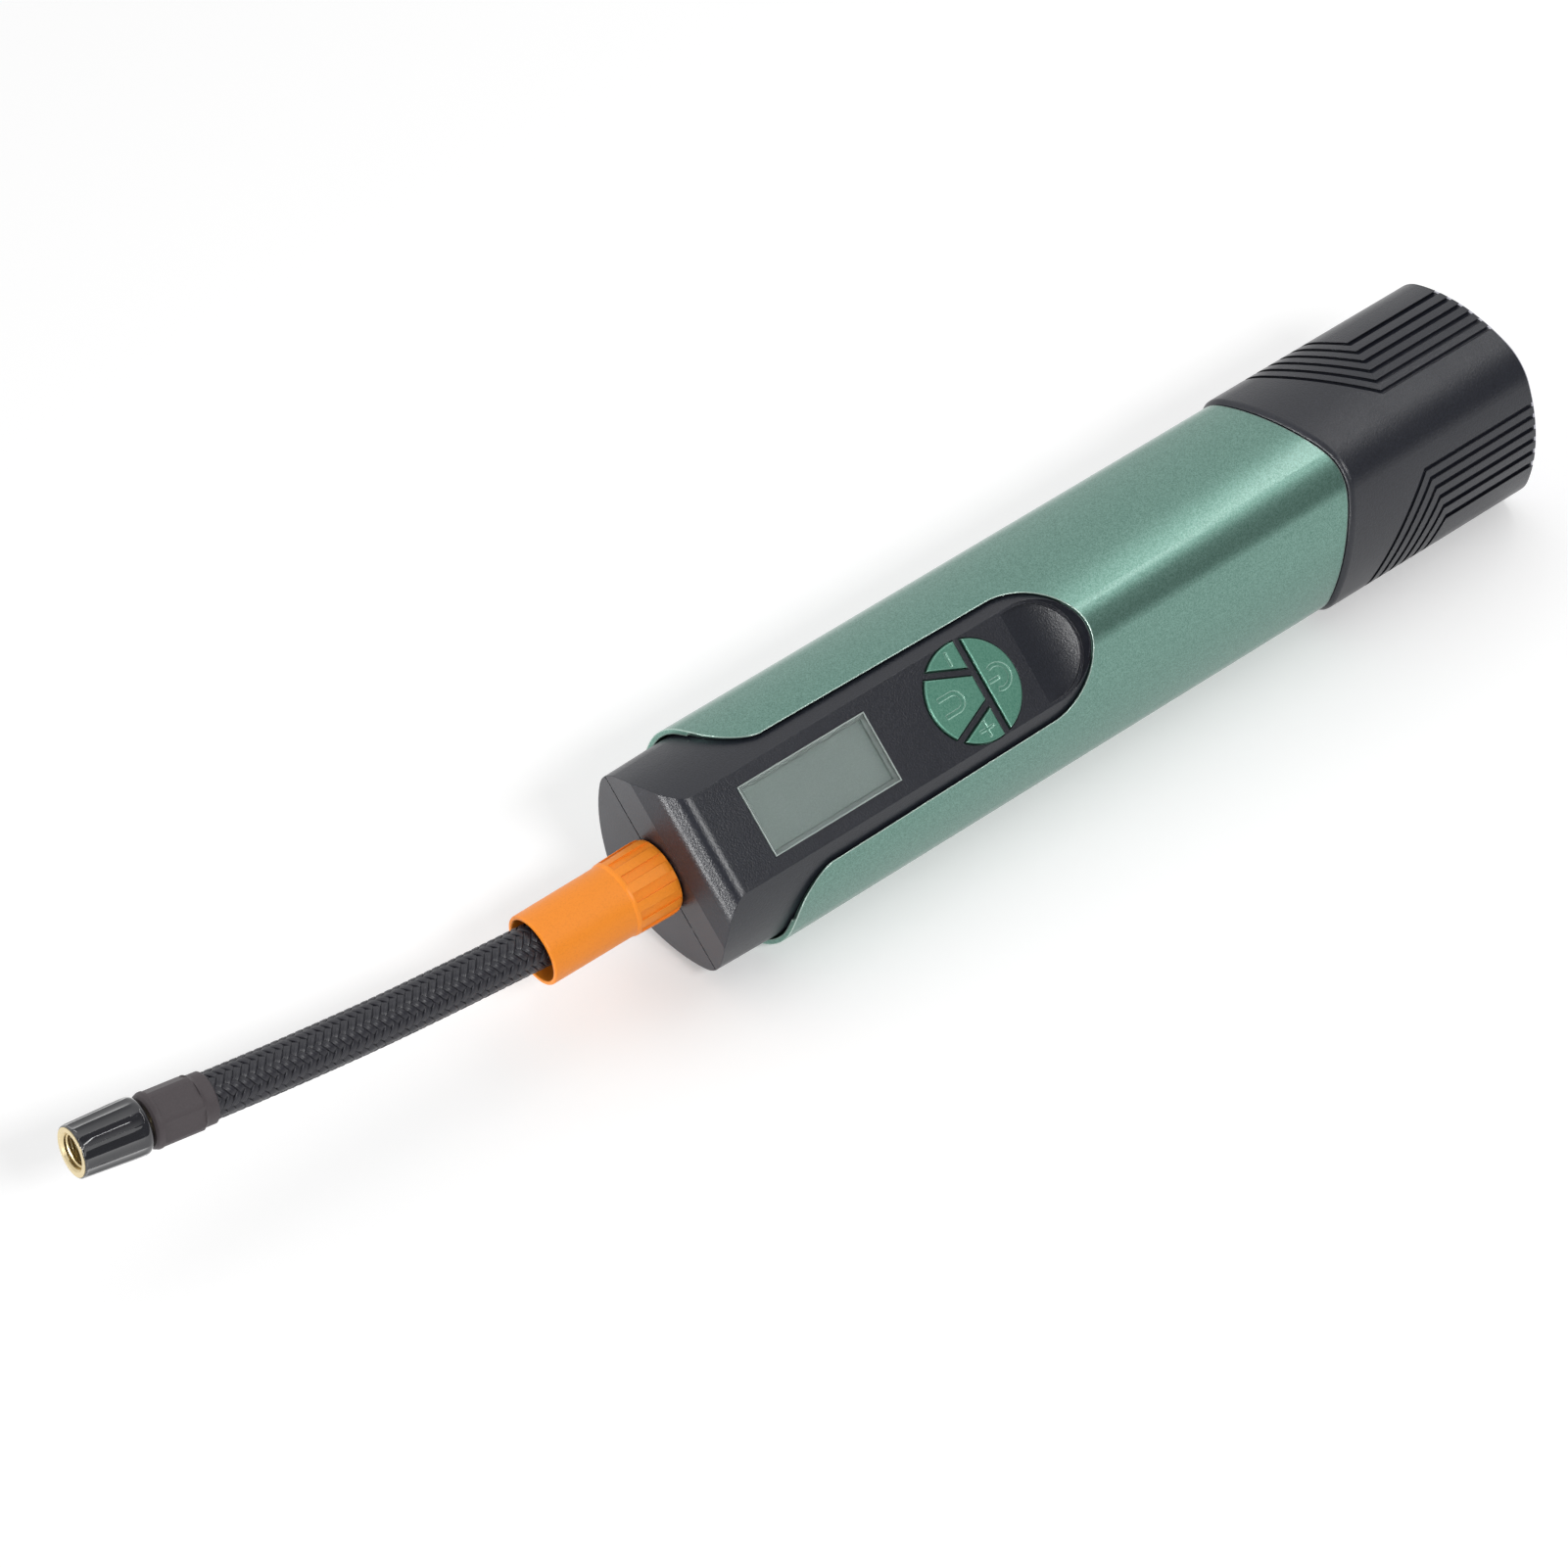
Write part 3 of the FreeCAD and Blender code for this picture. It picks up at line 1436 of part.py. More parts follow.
def head_screws():
    seat = cylinder_high + head_thickness
    screws = []
    for x, z in head_screw_places():
        shank = rod_y(cylinder_high - head_screw_depth + 0.3, seat, board_screw_radius, x, z)
        head = rod_y(seat, seat + head_screw_head, head_screw_head_radius, x, z)
        screws.append(shank.fuse(head).removeSplitter())
    return Part.makeCompound(screws)


def valve_disc():
    return rod_y(chamber_low() + 0.03, chamber_low() + valve_thickness, valve_radius, cylinder_x)


def valve_spring():
    """Small coil spring that holds the check valve shut."""
    start = chamber_low() + valve_thickness + spring_wire
    height = chamber_high() - start - spring_wire
    helix = Part.makeHelix(height / spring_turns, height, spring_radius)
    profile = Part.Wire(Part.makeCircle(spring_wire / 2, Vec(spring_radius, 0, 0), Y_AXIS))
    coil = Part.Wire(helix.Edges).makePipeShell([profile], True, True)
    coil.rotate(Vec(0, 0, 0), X_AXIS, -90)
    coil.translate(Vec(cylinder_x, start, 0))
    return coil


def air_tube():
    """Soft tube from the cylinder head's barb to the outlet fitting's barb."""
    y = chamber_middle()
    x_end = cylinder_x - cylinder_radius() - 0.1
    x_start = outlet_body_end + 0.1
    span = x_end - x_start
    points = [
        Vec(x_start, 0, 0),
        Vec(x_start + span * 0.25, 0, 0),
        Vec(x_start + span * 0.6, y, 0),
        Vec(x_end, y, 0),
    ]
    outer = tube(points, barb_radius + air_tube_wall, air_tube_bend)[0]
    inner = tube(points, barb_radius, air_tube_bend)[0]
    return outer.cut(inner)


def piston():
    radius = bore_radius - piston_gap
    low = wrist_y - piston_below
    high = wrist_y + piston_above
    body = rod_y(low, high, radius, cylinder_x)
    body = body.cut(rod_y(low - 1, high - piston_crown, radius - piston_skirt, cylinder_x))
    ring_high = high - ring_from_crown
    groove = rod_y(ring_high - ring_height - 0.05, ring_high + 0.05, far, cylinder_x).cut(
        rod_y(low, high, radius - ring_depth, cylinder_x))
    body = body.cut(groove)
    return body.cut(rod_x(cylinder_x - far, cylinder_x + far, pin_size, wrist_y))


def piston_ring():
    ring_high = wrist_y + piston_above - ring_from_crown
    outer = rod_y(ring_high - ring_height, ring_high, bore_radius - 0.02, cylinder_x)
    return outer.cut(rod_y(0, far, bore_radius - piston_gap - ring_depth + 0.02, cylinder_x))


def wrist_pin():
    reach = math.sqrt((bore_radius - piston_gap) ** 2 - pin_size ** 2) - 0.1
    return rod_x(cylinder_x - reach, cylinder_x + reach, pin_size, wrist_y)


def connecting_rod():
    """Rod on the crank pin; its small eye is wide enough for the pin's rise and fall."""
    x0 = cylinder_x - rod_thickness / 2
    x1 = cylinder_x + rod_thickness / 2
    small_z = pin_drop / 2
    small_hole = pin_size + wrist_clearance
    big_hole = pin_size + running_gap
    big = rod_x(x0, x1, big_hole + rod_eye, crank_y, crank_throw)
    small = rod_x(x0, x1, small_hole + rod_eye, wrist_y, small_z)
    run = Vec(0, wrist_y - crank_y, small_z - crank_throw)
    across = X_AXIS.cross(run).normalize() * rod_web / 2
    start = Vec(x0, crank_y, crank_throw)
    points = [start + across, start + run + across, start + run - across, start - across]
    web = outline_prism(points, Vec(rod_thickness, 0, 0))
    body = fuse([big, small, web])
    body = body.cut(rod_x(x0 - 1, x1 + 1, big_hole, crank_y, crank_throw))
    return body.cut(rod_x(x0 - 1, x1 + 1, small_hole, wrist_y, small_z))


def cell_places():
    reach = (cell_radius + cell_gap / 2) * 2 / math.sqrt(3)
    places = []
    for index in range(3):
        angle = math.radians(90 + index * 120)
        places.append((reach * math.cos(angle), reach * math.sin(angle)))
    return places


def battery_cells():
    cells = []
    for y, z in cell_places():
        can = rod_x(cell_front + cell_step, cell_front + cell_length, cell_radius, y, z)
        terminal = rod_x(cell_front, cell_front + cell_step, cell_terminal, y, z)
        cells.append(can.fuse(terminal).removeSplitter())
    return Part.makeCompound(cells)


FRONT_PAIR = (0, 1)           # cells joined at the front
REAR_PAIR = (1, 2)            # cells joined at the rear


def strip_prism(pair, x0, x1, grow=0.0):
    """Flat nickel strip over the ends of two cells, grown sideways by grow."""
    places = cell_places()
    a = Vec(x0, *places[pair[0]])
    b = Vec(x0, *places[pair[1]])
    along = (b - a).normalize() * (strip_reach + grow)
    across = X_AXIS.cross(b - a).normalize() * (strip_half + grow)
    points = [a - along + across, b + along + across, b + along - across, a - along - across]
    return outline_prism(points, Vec(x1 - x0, 0, 0))


def cell_holders():
    """Two moulded spacers that hold the ends of the cells in the case."""
    holders = []
    cell_end = cell_front + cell_length
    for x0, x1 in ((cell_front - holder_wall, cell_front + holder_grip),
                   (cell_end - holder_grip, cell_end + holder_wall)):
        body = sleeve_bar(x0, x1, core_inset + shell_wall + seat_gap)
        for y, z in cell_places():
            body = body.cut(rod_x(cell_front, cell_end, cell_radius + seat_gap, y, z))
            body = body.cut(rod_x(x0 - 1, x1 + 1, cell_window, y, z))
        body = body.cut(strip_prism(FRONT_PAIR, cell_front - strip_room, cell_front, seat_gap))
        body = body.cut(strip_prism(REAR_PAIR, cell_end, cell_end + strip_room, seat_gap))
        holders.append(body)
    return Part.makeCompound(holders)


def cell_strips():
    """Nickel strips that join the cell ends."""
    cell_end = cell_front + cell_length
    return Part.makeCompound([
        strip_prism(FRONT_PAIR, cell_front - strip_thickness, cell_front),
        strip_prism(REAR_PAIR, cell_end, cell_end + strip_thickness),
    ])


def place(shape):
    """Turns a piece onto the flat side it rests on and sets the origin under the middle."""
    middle = (nut_mouth + cap_end + plate_proud) / 2
    lift = flat_half(corner_half) + cap_step
    moved = shape.copy()
    moved.rotate(Vec(0, 0, 0), X_AXIS, 45)
    moved.translate(Vec(-middle, 0, lift))
    return moved


PIECES = {
    "sleeve": sleeve,
    "upper_shell": lambda: shell_half(True),
    "lower_shell": lambda: shell_half(False),
    "rear_cap": rear_cap,
    "rear_plate": rear_plate,
    "lamp_lens": lamp_lens,
    "lamp_reflector": lamp_reflector,
    "lamp_board": lamp_board,
    "lamp_led": lamp_led,
    "charge_board": charge_board,
    "charge_socket": charge_socket,
    "display_lens": display_lens,
    "display_panel": display_panel,
    "power_button": lambda: button("power"),
    "unit_button": lambda: button("unit"),
    "minus_button": lambda: button("minus"),
    "plus_button": lambda: button("plus"),
    "main_board": main_board,
    "tact_switches": tact_switches,
    "case_screws": case_screws,
    "board_screws": board_screws,
    "cap_screws": cap_screws,
    "hose_nut": hose_nut,
    "outlet_fitting": outlet_fitting,
    "pressure_sensor": pressure_sensor,
    "hose_tail": hose_tail,
    "tail_o_ring": tail_o_ring,
    "hose": hose,
    "hose_ferrule": hose_ferrule,
    "chuck_stem": chuck_stem,
    "chuck_insert": chuck_insert,
    "chuck_sleeve": chuck_sleeve,
    "chuck_seal": chuck_seal,
    "valve_pin": valve_pin,
    "crank_gear": crank_gear,
    "crank_pin": crank_pin,
    "gear_axle": gear_axle,
    "motor_pinion": motor_pinion,
    "motor_shaft": motor_shaft,
    "motor_can": motor_can,
    "motor_end_cap": motor_end_cap,
    "motor_screws": motor_screws,
    "pump_frame": pump_frame,
    "cylinder": cylinder,
    "cylinder_head": cylinder_head,
    "head_screws": head_screws,
    "valve_disc": valve_disc,
    "valve_spring": valve_spring,
    "air_tube": air_tube,
    "piston": piston,
    "piston_ring": piston_ring,
    "wrist_pin": wrist_pin,
    "connecting_rod": connecting_rod,
    "battery_cells": battery_cells,
    "cell_holders": cell_holders,
    "cell_strips": cell_strips,
}


def main():
    os.makedirs("parts", exist_ok=True)
    for name, make in PIECES.items():
        shape = place(make())
        solids = len(shape.Solids)
        print(name, "solids", solids, "valid", shape.isValid(), "volume", round(shape.Volume, 1))
        shape.exportStep("parts/" + name + ".step")


if __name__ == "__main__":
    main()
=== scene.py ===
# %% [markdown]
# # A cordless tyre inflator, dressed in Blender
#
# The object is a torch-shaped air pump: a black moulded case inside a green lacquered
# aluminium tube, with a display, four keys and a short braided hose. Its solids come ready
# made at their real size, so this lesson is about everything that they leave open: the
# surfaces, the light, and the few pieces whose shape is too fine or too soft for a solid.
#
# We load those solids first. They are a fixed frame: nothing here moves or resizes them.

# %% Load the solids
import json
import math

import bmesh
import bpy
import numpy as np
from mathutils import Matrix, Vector


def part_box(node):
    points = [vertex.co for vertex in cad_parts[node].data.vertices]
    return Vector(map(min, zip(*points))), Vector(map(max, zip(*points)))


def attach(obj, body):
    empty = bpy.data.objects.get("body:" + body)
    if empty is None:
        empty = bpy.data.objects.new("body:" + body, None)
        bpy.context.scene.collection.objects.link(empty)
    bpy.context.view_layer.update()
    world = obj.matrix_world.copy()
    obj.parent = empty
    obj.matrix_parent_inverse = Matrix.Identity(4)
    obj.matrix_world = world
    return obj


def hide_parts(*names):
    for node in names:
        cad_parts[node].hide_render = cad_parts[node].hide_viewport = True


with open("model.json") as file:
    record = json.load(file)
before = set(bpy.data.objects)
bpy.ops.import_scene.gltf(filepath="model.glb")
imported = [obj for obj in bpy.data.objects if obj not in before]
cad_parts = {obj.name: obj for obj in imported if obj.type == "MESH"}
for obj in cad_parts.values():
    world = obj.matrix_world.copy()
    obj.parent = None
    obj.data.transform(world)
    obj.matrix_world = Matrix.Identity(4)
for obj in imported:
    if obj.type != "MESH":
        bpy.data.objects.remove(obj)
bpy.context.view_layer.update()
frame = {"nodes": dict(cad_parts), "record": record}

NODES = frame["nodes"]
MM = 0.001
scene = bpy.context.scene

# %% [markdown]
# ## Two sets of axes
#
# The inflator lies on one of its four flat sides, so its flat panel looks up and to the
# front at 45 degrees. It is far easier to think in the body's own axes: x runs back from
# the nose face, y runs to the corner beside the panel, and z is square to the panel.
# `at()` turns such a point, in millimetres, into the scene's metres. Its two anchors are
# read from solids: the rear face gives x, and the round rear cap gives the axis height.

# %% The body's own axes
REAR_FACE_X = 232.7          # from the nose face to the rear face
PANEL_LEAN_DEG = 45

rear_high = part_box("rear_plate")[1]
cap_low, cap_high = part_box("rear_cap")
NOSE_X = rear_high.x - REAR_FACE_X * MM
AXIS_Z = (cap_low.z + cap_high.z) / 2
BODY_TURN = Matrix.Rotation(math.radians(PANEL_LEAN_DEG), 3, "X")


def at(x, y, z):
    """A point given in the body's axes and millimetres, in the scene's metres."""
    return BODY_TURN @ Vector((x, y, z)) * MM + Vector((NOSE_X, 0, AXIS_Z))


print("nose face at x =", round(NOSE_X, 4), "m, axis at z =", round(AXIS_Z, 4), "m")

# %% [markdown]
# ## The camera
#
# A product photograph like this one is taken from far away with a long lens, which keeps
# parallel edges nearly parallel. One could move the camera until the view looks right, but
# many pairs of place and lens look nearly right. The values below were worked out from the
# straight edges of the body and the round keys instead, so that the view lines up with the
# picture. The image is square, so the sensor's width is all that the lens needs.

# %% Camera
CAMERA_PLACE_MM = (-599.75, -782.32, 914.88)
CAMERA_TURN_DEG = (46.742, 4.469, -38.540)
LENS_MM = 139.0
SENSOR_MM = 36.0

camera_data = bpy.data.cameras.new("camera")
camera_data.lens = LENS_MM
camera_data.sensor_width = SENSOR_MM
camera = bpy.data.objects.new("camera", camera_data)
camera.location = Vector(CAMERA_PLACE_MM) * MM
camera.rotation_euler = [math.radians(angle) for angle in CAMERA_TURN_DEG]
scene.collection.objects.link(camera)
scene.camera = camera
print("camera", round((camera.location - at(0, 0, 0)).length, 3), "m from the nose")

# %% [markdown]
# ## Colours and shader nodes
#
# Colours are given as hex values, the way a paint chart gives them. A shader
# wants them in linear light, so one function turns them. A second small function adds a
# shader node with its settings and links, and every material below is built with it.

# %% Colour and node helpers
def linear(hex_value):
    """A colour as (r, g, b, 1) in linear light, from an sRGB hex value."""
    channels = [int(hex_value[i:i + 2], 16) / 255 for i in (1, 3, 5)]
    lit = [c / 12.92 if c <= 0.04045 else ((c + 0.055) / 1.055) ** 2.4 for c in channels]
    return (*lit, 1.0)


def add(tree, kind, settings=None, **links):
    """Adds a node. settings are attributes or input values, links are input sockets."""
    node = tree.nodes.new("ShaderNode" + kind)
    for name, value in (settings or {}).items():
        if name in node.inputs:
            node.inputs[name].default_value = value
        else:
            setattr(node, name, value)
    for name, socket in links.items():
        tree.links.new(socket, node.inputs[name.replace("_", " ")])
    return node


def new_material(name):
    """An empty node material: returns the material, its tree and its output node."""
    material = bpy.data.materials.new(name)
    material.use_nodes = True
    tree = material.node_tree
    tree.nodes.clear()
    output = tree.nodes.new("ShaderNodeOutputMaterial")
    return material, tree, output


def finished(material, tree, output, shader):
    """Joins the shader to the output, and gives the material back."""
    tree.links.new(shader.outputs[0], output.inputs["Surface"])
    print("material", material.name)
    return material


WHITE = linear("#FFFFFF")
print("middle grey in linear light:", round(linear("#808080")[0], 3))

# %% [markdown]
# ## The floor
#
# The studio is a pale floor in a soft white room. Brighter lamps could make the floor
# white, but they would wash out the object too. So the floor adds some light of its own,
# and only to rays from the camera and to mirror and glass rays: the object's gloss shows a
# white floor, and its matt surfaces get no more light.

# %% Floor
FLOOR_SIZE = 6.0             # metres
FLOOR_COLOUR = linear("#E6E6E6")
FLOOR_LIFT = 0.32            # strength of the light that the floor adds


def put(name, mesh):
    """Adds a mesh to the scene, as an object of that name."""
    piece = bpy.data.objects.new(name, mesh)
    scene.collection.objects.link(piece)
    return piece


def seen_or_mirrored(tree):
    """1 for camera, mirror and glass rays, and 0 for all others."""
    path = add(tree, "LightPath")
    first = add(tree, "Math", {"operation": "MAXIMUM"})
    tree.links.new(path.outputs["Is Camera Ray"], first.inputs[0])
    tree.links.new(path.outputs["Is Glossy Ray"], first.inputs[1])
    both = add(tree, "Math", {"operation": "MAXIMUM"})
    tree.links.new(first.outputs[0], both.inputs[0])
    tree.links.new(path.outputs["Is Transmission Ray"], both.inputs[1])
    return both


def floor_material():
    """Matt white paper, with the added light."""
    material, tree, output = new_material("studio_paper")
    base = add(tree, "BsdfDiffuse", {"Color": FLOOR_COLOUR})
    seen = seen_or_mirrored(tree)
    strength = add(tree, "Math", {"operation": "MULTIPLY"})
    tree.links.new(seen.outputs[0], strength.inputs[0])
    strength.inputs[1].default_value = FLOOR_LIFT
    glow = add(tree, "Emission", {"Color": WHITE}, Strength=strength.outputs[0])
    both = add(tree, "AddShader")
    tree.links.new(base.outputs[0], both.inputs[0])
    tree.links.new(glow.outputs[0], both.inputs[1])
    return finished(material, tree, output, both)


half_floor = FLOOR_SIZE / 2
floor_mesh = bpy.data.meshes.new("floor")
floor_mesh.from_pydata([
    (-half_floor, -half_floor, 0),
    (half_floor, -half_floor, 0),
    (half_floor, half_floor, 0),
    (-half_floor, half_floor, 0),
], [], [(0, 1, 2, 3)])
floor_mesh.materials.append(floor_material())
put("floor", floor_mesh)
print("floor", FLOOR_SIZE, "m wide")

# %% [markdown]
# ## The room
#
# A satin metal shows little of its own colour: it shows the room. So the room is bright
# behind the object and much darker in front of it, on the camera's side. That change is
# the dark streak that makes the tube read as metal. A picture of a real studio is the
# usual way to get this; a gradient in the world's shader needs no file and is easy to
# steer. The camera itself sees plain white.

# %% World
ROOM_BEHIND = 0.86           # light from behind the object
ROOM_AHEAD = 0.19            # light from the camera's side
ROOM_SHOWN = 1.0             # what the camera sees as background
DARK_UP_TO = -0.45           # directions in y: darkest up to here
BRIGHT_FROM = 0.25           # and brightest from here


def make_world():
    """Soft light from all round, from one level behind the object to another in front."""
    world = bpy.data.worlds.new("studio")
    scene.world = world
    world.use_nodes = True
    tree = world.node_tree
    tree.nodes.clear()
    output = tree.nodes.new("ShaderNodeOutputWorld")
    place = add(tree, "TexCoord")
    parts = add(tree, "SeparateXYZ", Vector=place.outputs["Generated"])
    level = add(tree, "MapRange", {
        "From Min": DARK_UP_TO,
        "From Max": BRIGHT_FROM,
        "To Min": ROOM_AHEAD,
        "To Max": ROOM_BEHIND,
    }, Value=parts.outputs["Y"])
    dim = add(tree, "Background", {"Color": WHITE}, Strength=level.outputs[0])
    bright = add(tree, "Background", {"Color": WHITE, "Strength": ROOM_SHOWN})
    path = add(tree, "LightPath")
    mix = add(tree, "MixShader", Fac=path.outputs["Is Camera Ray"])
    tree.links.new(dim.outputs[0], mix.inputs[1])
    tree.links.new(bright.outputs[0], mix.inputs[2])
    tree.links.new(mix.outputs[0], output.inputs["Surface"])


make_world()
scene.view_settings.view_transform = "Standard"
print("room", ROOM_BEHIND, "behind,", ROOM_AHEAD, "ahead")

# %% [markdown]
# ## Lamps
#
# Three soft boxes do the rest, and each has one surface to light. Rectangular area lamps
# are used because their shape is what the gloss shows: point lamps would leave dots, where
# the real object has lines. A long narrow strip overhead draws the bright line along the
# tube's rounded corner. A softer one beside the camera gives the sheen in the thumb dish
# and on the panel's front edge. The third stands low in front of the nose and draws the
# line on its bevel.

# %% Lamps
def softbox(name, place, width, height, watts):
    """A rectangular lamp at place, turned towards the body; all in metres."""
    data = bpy.data.lights.new(name, "AREA")
    data.shape = "RECTANGLE"
    data.size = width
    data.size_y = height
    data.energy = watts
    lamp = bpy.data.objects.new(name, data)
    lamp.location = place
    aim = Vector((0.0, 0.0, AXIS_Z)) - Vector(place)
    lamp.rotation_euler = aim.to_track_quat("-Z", "Y").to_euler()
    scene.collection.objects.link(lamp)
    print("lamp", name, watts, "W")


softbox("overhead_strip", (0.6, -0.24, 1.2), width=1.3, height=0.08, watts=2.7)
softbox("beside_camera", (-0.18, -1.19, 1.07), width=0.5, height=0.22, watts=9.5)
softbox("nose_side", (-1.6, 0.02, 0.08), width=0.7, height=0.13, watts=13)

# %% [markdown]
# ## Metallic lacquer on the aluminium tube
#
# The tube is drawn aluminium with a green metallic lacquer: tiny flakes of metal in a
# tinted coat. Flakes face slightly different ways, so the colour sparkles finely, and the
# smooth clear coat over them adds a second, sharper highlight. Noise could draw them, but
# it is soft; a Voronoi pattern gives each cell one value of its own, as each flake has.
# Real flakes are about 0.03 mm, far below one pixel here, so they are drawn at 0.22 mm.
# The fine pale line round the cut-out and round each key is a painted highlight: beside a
# sharp edge the colour turns pale, as if the edge were rounded and caught the light. The
# Bevel node finds those edges, because its rounded normal leaves the true one only beside an
# edge.

# %% Green metallic lacquer
FLAKE_MM = 0.22
BEVEL_RAYS = 6
EDGE_HIGHLIGHT_FROM = 0.995             # cosine between both normals where the painted highlight starts
EDGE_HIGHLIGHT_FULL = 0.93              # and where the painted highlight is full
RIPPLE_MM = 0.02             # unevenness below the clear coat


def millimetres(tree):
    """Object coordinates in millimetres: a pattern's scale is then 1 over its real size."""
    place = add(tree, "TexCoord")
    scaled = add(tree, "VectorMath", {"operation": "SCALE", "Scale": 1 / MM})
    tree.links.new(place.outputs["Object"], scaled.inputs[0])
    return scaled.outputs[0]


def painted_edge_highlight(tree, rounded):
    """Mask of the painted highlight: 0 on open surface, 1 on a sharp edge, by how far rounded
    leaves the normal.
    """
    agree = add(tree, "VectorMath", {"operation": "DOT_PRODUCT"})
    tree.links.new(rounded, agree.inputs[0])
    tree.links.new(add(tree, "NewGeometry").outputs["Normal"], agree.inputs[1])
    return add(tree, "MapRange", {
        "From Min": EDGE_HIGHLIGHT_FROM,
        "From Max": EDGE_HIGHLIGHT_FULL,
    }, Value=agree.outputs["Value"]).outputs[0]


def green_lacquer(name, deep, bright, rim, rough, coat, edge):
    """Flakes between a deep and a bright colour, and a painted highlight in a pale colour
    where an edge is sharp.
    """
    material, tree, output = new_material(name)
    place = millimetres(tree)
    bevel = add(tree, "Bevel", {"samples": BEVEL_RAYS, "Radius": edge * MM})
    rounded = bevel.outputs["Normal"]
    flakes = add(tree, "TexVoronoi", {"Scale": 1 / FLAKE_MM}, Vector=place)
    ramp = add(tree, "ValToRGB", Fac=flakes.outputs["Color"])
    ramp.color_ramp.elements[0].color = linear(deep)
    ramp.color_ramp.elements[1].color = linear(bright)
    # The pale colour mixed in beside sharp edges is a painted highlight.
    colour = add(tree, "MixRGB", {"Color2": linear(rim)},
                 Fac=painted_edge_highlight(tree, rounded), Color1=ramp.outputs["Color"])
    grain = add(tree, "TexNoise", {"Scale": 1 / FLAKE_MM, "Detail": 2.0}, Vector=place)
    bump = add(tree, "Bump", {"Strength": 0.01, "Distance": RIPPLE_MM * MM},
               Height=grain.outputs["Fac"], Normal=rounded)
    shader = add(tree, "BsdfPrincipled", {
        "Metallic": 0.75,
        "Roughness": rough,
        "Coat Weight": coat,
        "Coat Roughness": 0.12,
    }, Base_Color=colour.outputs["Color"], Normal=bump.outputs["Normal"])
    return finished(material, tree, output, shader)


# Sprayed on drawn aluminium: a fine sparkle, one wide soft highlight and a sharper one.
# Its pale rim colour is a painted highlight along the edges of the cut-out.
tube_lacquer = green_lacquer(
    "green_metallic_lacquer", deep="#567D71", bright="#7FA599", rim="#D2E8DE",
    rough=0.31, coat=0.35, edge=0.45,
)
# The same lacquer on moulded keys: deeper in colour, and duller where thumbs rub it.
# Here too the pale rim colour is a painted highlight along each key's edges.
key_lacquer = green_lacquer(
    "green_key_lacquer", deep="#4E8573", bright="#6FA38F", rim="#B5DCCC",
    rough=0.42, coat=0.3, edge=0.25,
)

# %% [markdown]
# ## Moulded plastics
#
# The case and the cap are a tough ABS blend, moulded in a tool whose face was spark
# eroded. That leaves a fine, even grain of about 0.1 mm that spreads every highlight and
# breaks it into sparkling points. As real shape it would take millions of faces, so a bump
# only tilts the light. It is drawn at 0.4 mm so that it shows, and a slower noise makes the
# gloss slightly uneven, as handling does. The same function makes the rubber, the braid and
# the other skins that aren't metal, with their own colours.

# %% Moulded plastic
GRAIN_MM = 0.40
GRAIN_HEIGHT_MM = 0.07
HANDLING_MM = 14.0           # size of the slow changes in gloss
GLOSS_SWING = 0.05           # how far they take the roughness up and down
SMOOTHEST = 0.05             # the roughness never goes below this


def moulded(name, colour, rough, grain=0.1, specular=0.5, coat=0.0, edge=0.25, speckle=0.08):
    """A plastic, rubber or other dense skin; edge is how far its sharp edges look rounded."""
    material, tree, output = new_material(name)
    place = millimetres(tree)
    fine = add(tree, "TexNoise", {"Scale": 1 / GRAIN_MM, "Detail": 3.0}, Vector=place)
    slow = add(tree, "TexNoise", {"Scale": 1 / HANDLING_MM, "Detail": 2.0}, Vector=place)
    gloss = add(tree, "MapRange", {
        "To Min": max(rough - GLOSS_SWING, SMOOTHEST),
        "To Max": rough + GLOSS_SWING,
    }, Value=slow.outputs["Fac"])
    tint = add(tree, "MapRange", {
        "From Min": 0.25,
        "From Max": 0.75,
        "To Min": 1 - speckle,
        "To Max": 1 + speckle,
    }, Value=fine.outputs["Fac"])
    shade = add(tree, "HueSaturation", {"Color": linear(colour)}, Value=tint.outputs[0])
    bevel = add(tree, "Bevel", {"samples": BEVEL_RAYS, "Radius": edge * MM})
    bump = add(tree, "Bump", {"Strength": grain, "Distance": GRAIN_HEIGHT_MM * MM},
               Height=fine.outputs["Fac"], Normal=bevel.outputs["Normal"])
    shader = add(tree, "BsdfPrincipled", {
        "IOR": 1.5,
        "Specular IOR Level": specular,
        "Coat Weight": coat,
    }, Base_Color=shade.outputs["Color"], Roughness=gloss.outputs[0],
        Normal=bump.outputs["Normal"])
    return finished(material, tree, output, shader)


# ABS from a spark-eroded tool: near black, and every highlight is broken into points.
case_abs = moulded(
    "black_abs_spark_texture", "#22242C", 0.31, grain=1.0, specular=0.55, speckle=0.35,
)
# ABS from a plain tool: a quiet light grey without sparkle.
plate_abs = moulded("light_grey_abs", "#C6C6D0", 0.45)
# Moulded polypropylene: strong colour right through, under a waxy, soft highlight.
nut_polypropylene = moulded("orange_polypropylene", "#FF9529", 0.42, grain=0.05, specular=0.35)
# ABS from a polished tool, then gloss coated: mirror-sharp lines on near black.
grip_abs = moulded("gloss_black_abs", "#1D1E24", 0.10, grain=0.0, coat=1.0)

# %% [markdown]
# ## Rubber, braid and other dark skins
#
# The hose is rubber below and woven polyester above. The ferrule is pressed from sintered
# steel and blackened: oxide covers the metal, so it looks like a dull brown-black skin, not
# like a metal. The display's cell is glass with a printed grey back, and reads as flat grey.

# %% Skins of the hose and the display
# Extruded nitrile rubber: matt black, with hardly a highlight.
hose_rubber = moulded("nitrile_rubber", "#1C1C1C", 0.6)
# Woven polyester yarn: dark, with a faint sheen on the back of each strand.
braid_polyester = moulded("black_polyester_braid", "#292930", 0.38, grain=0.2, edge=0.1)
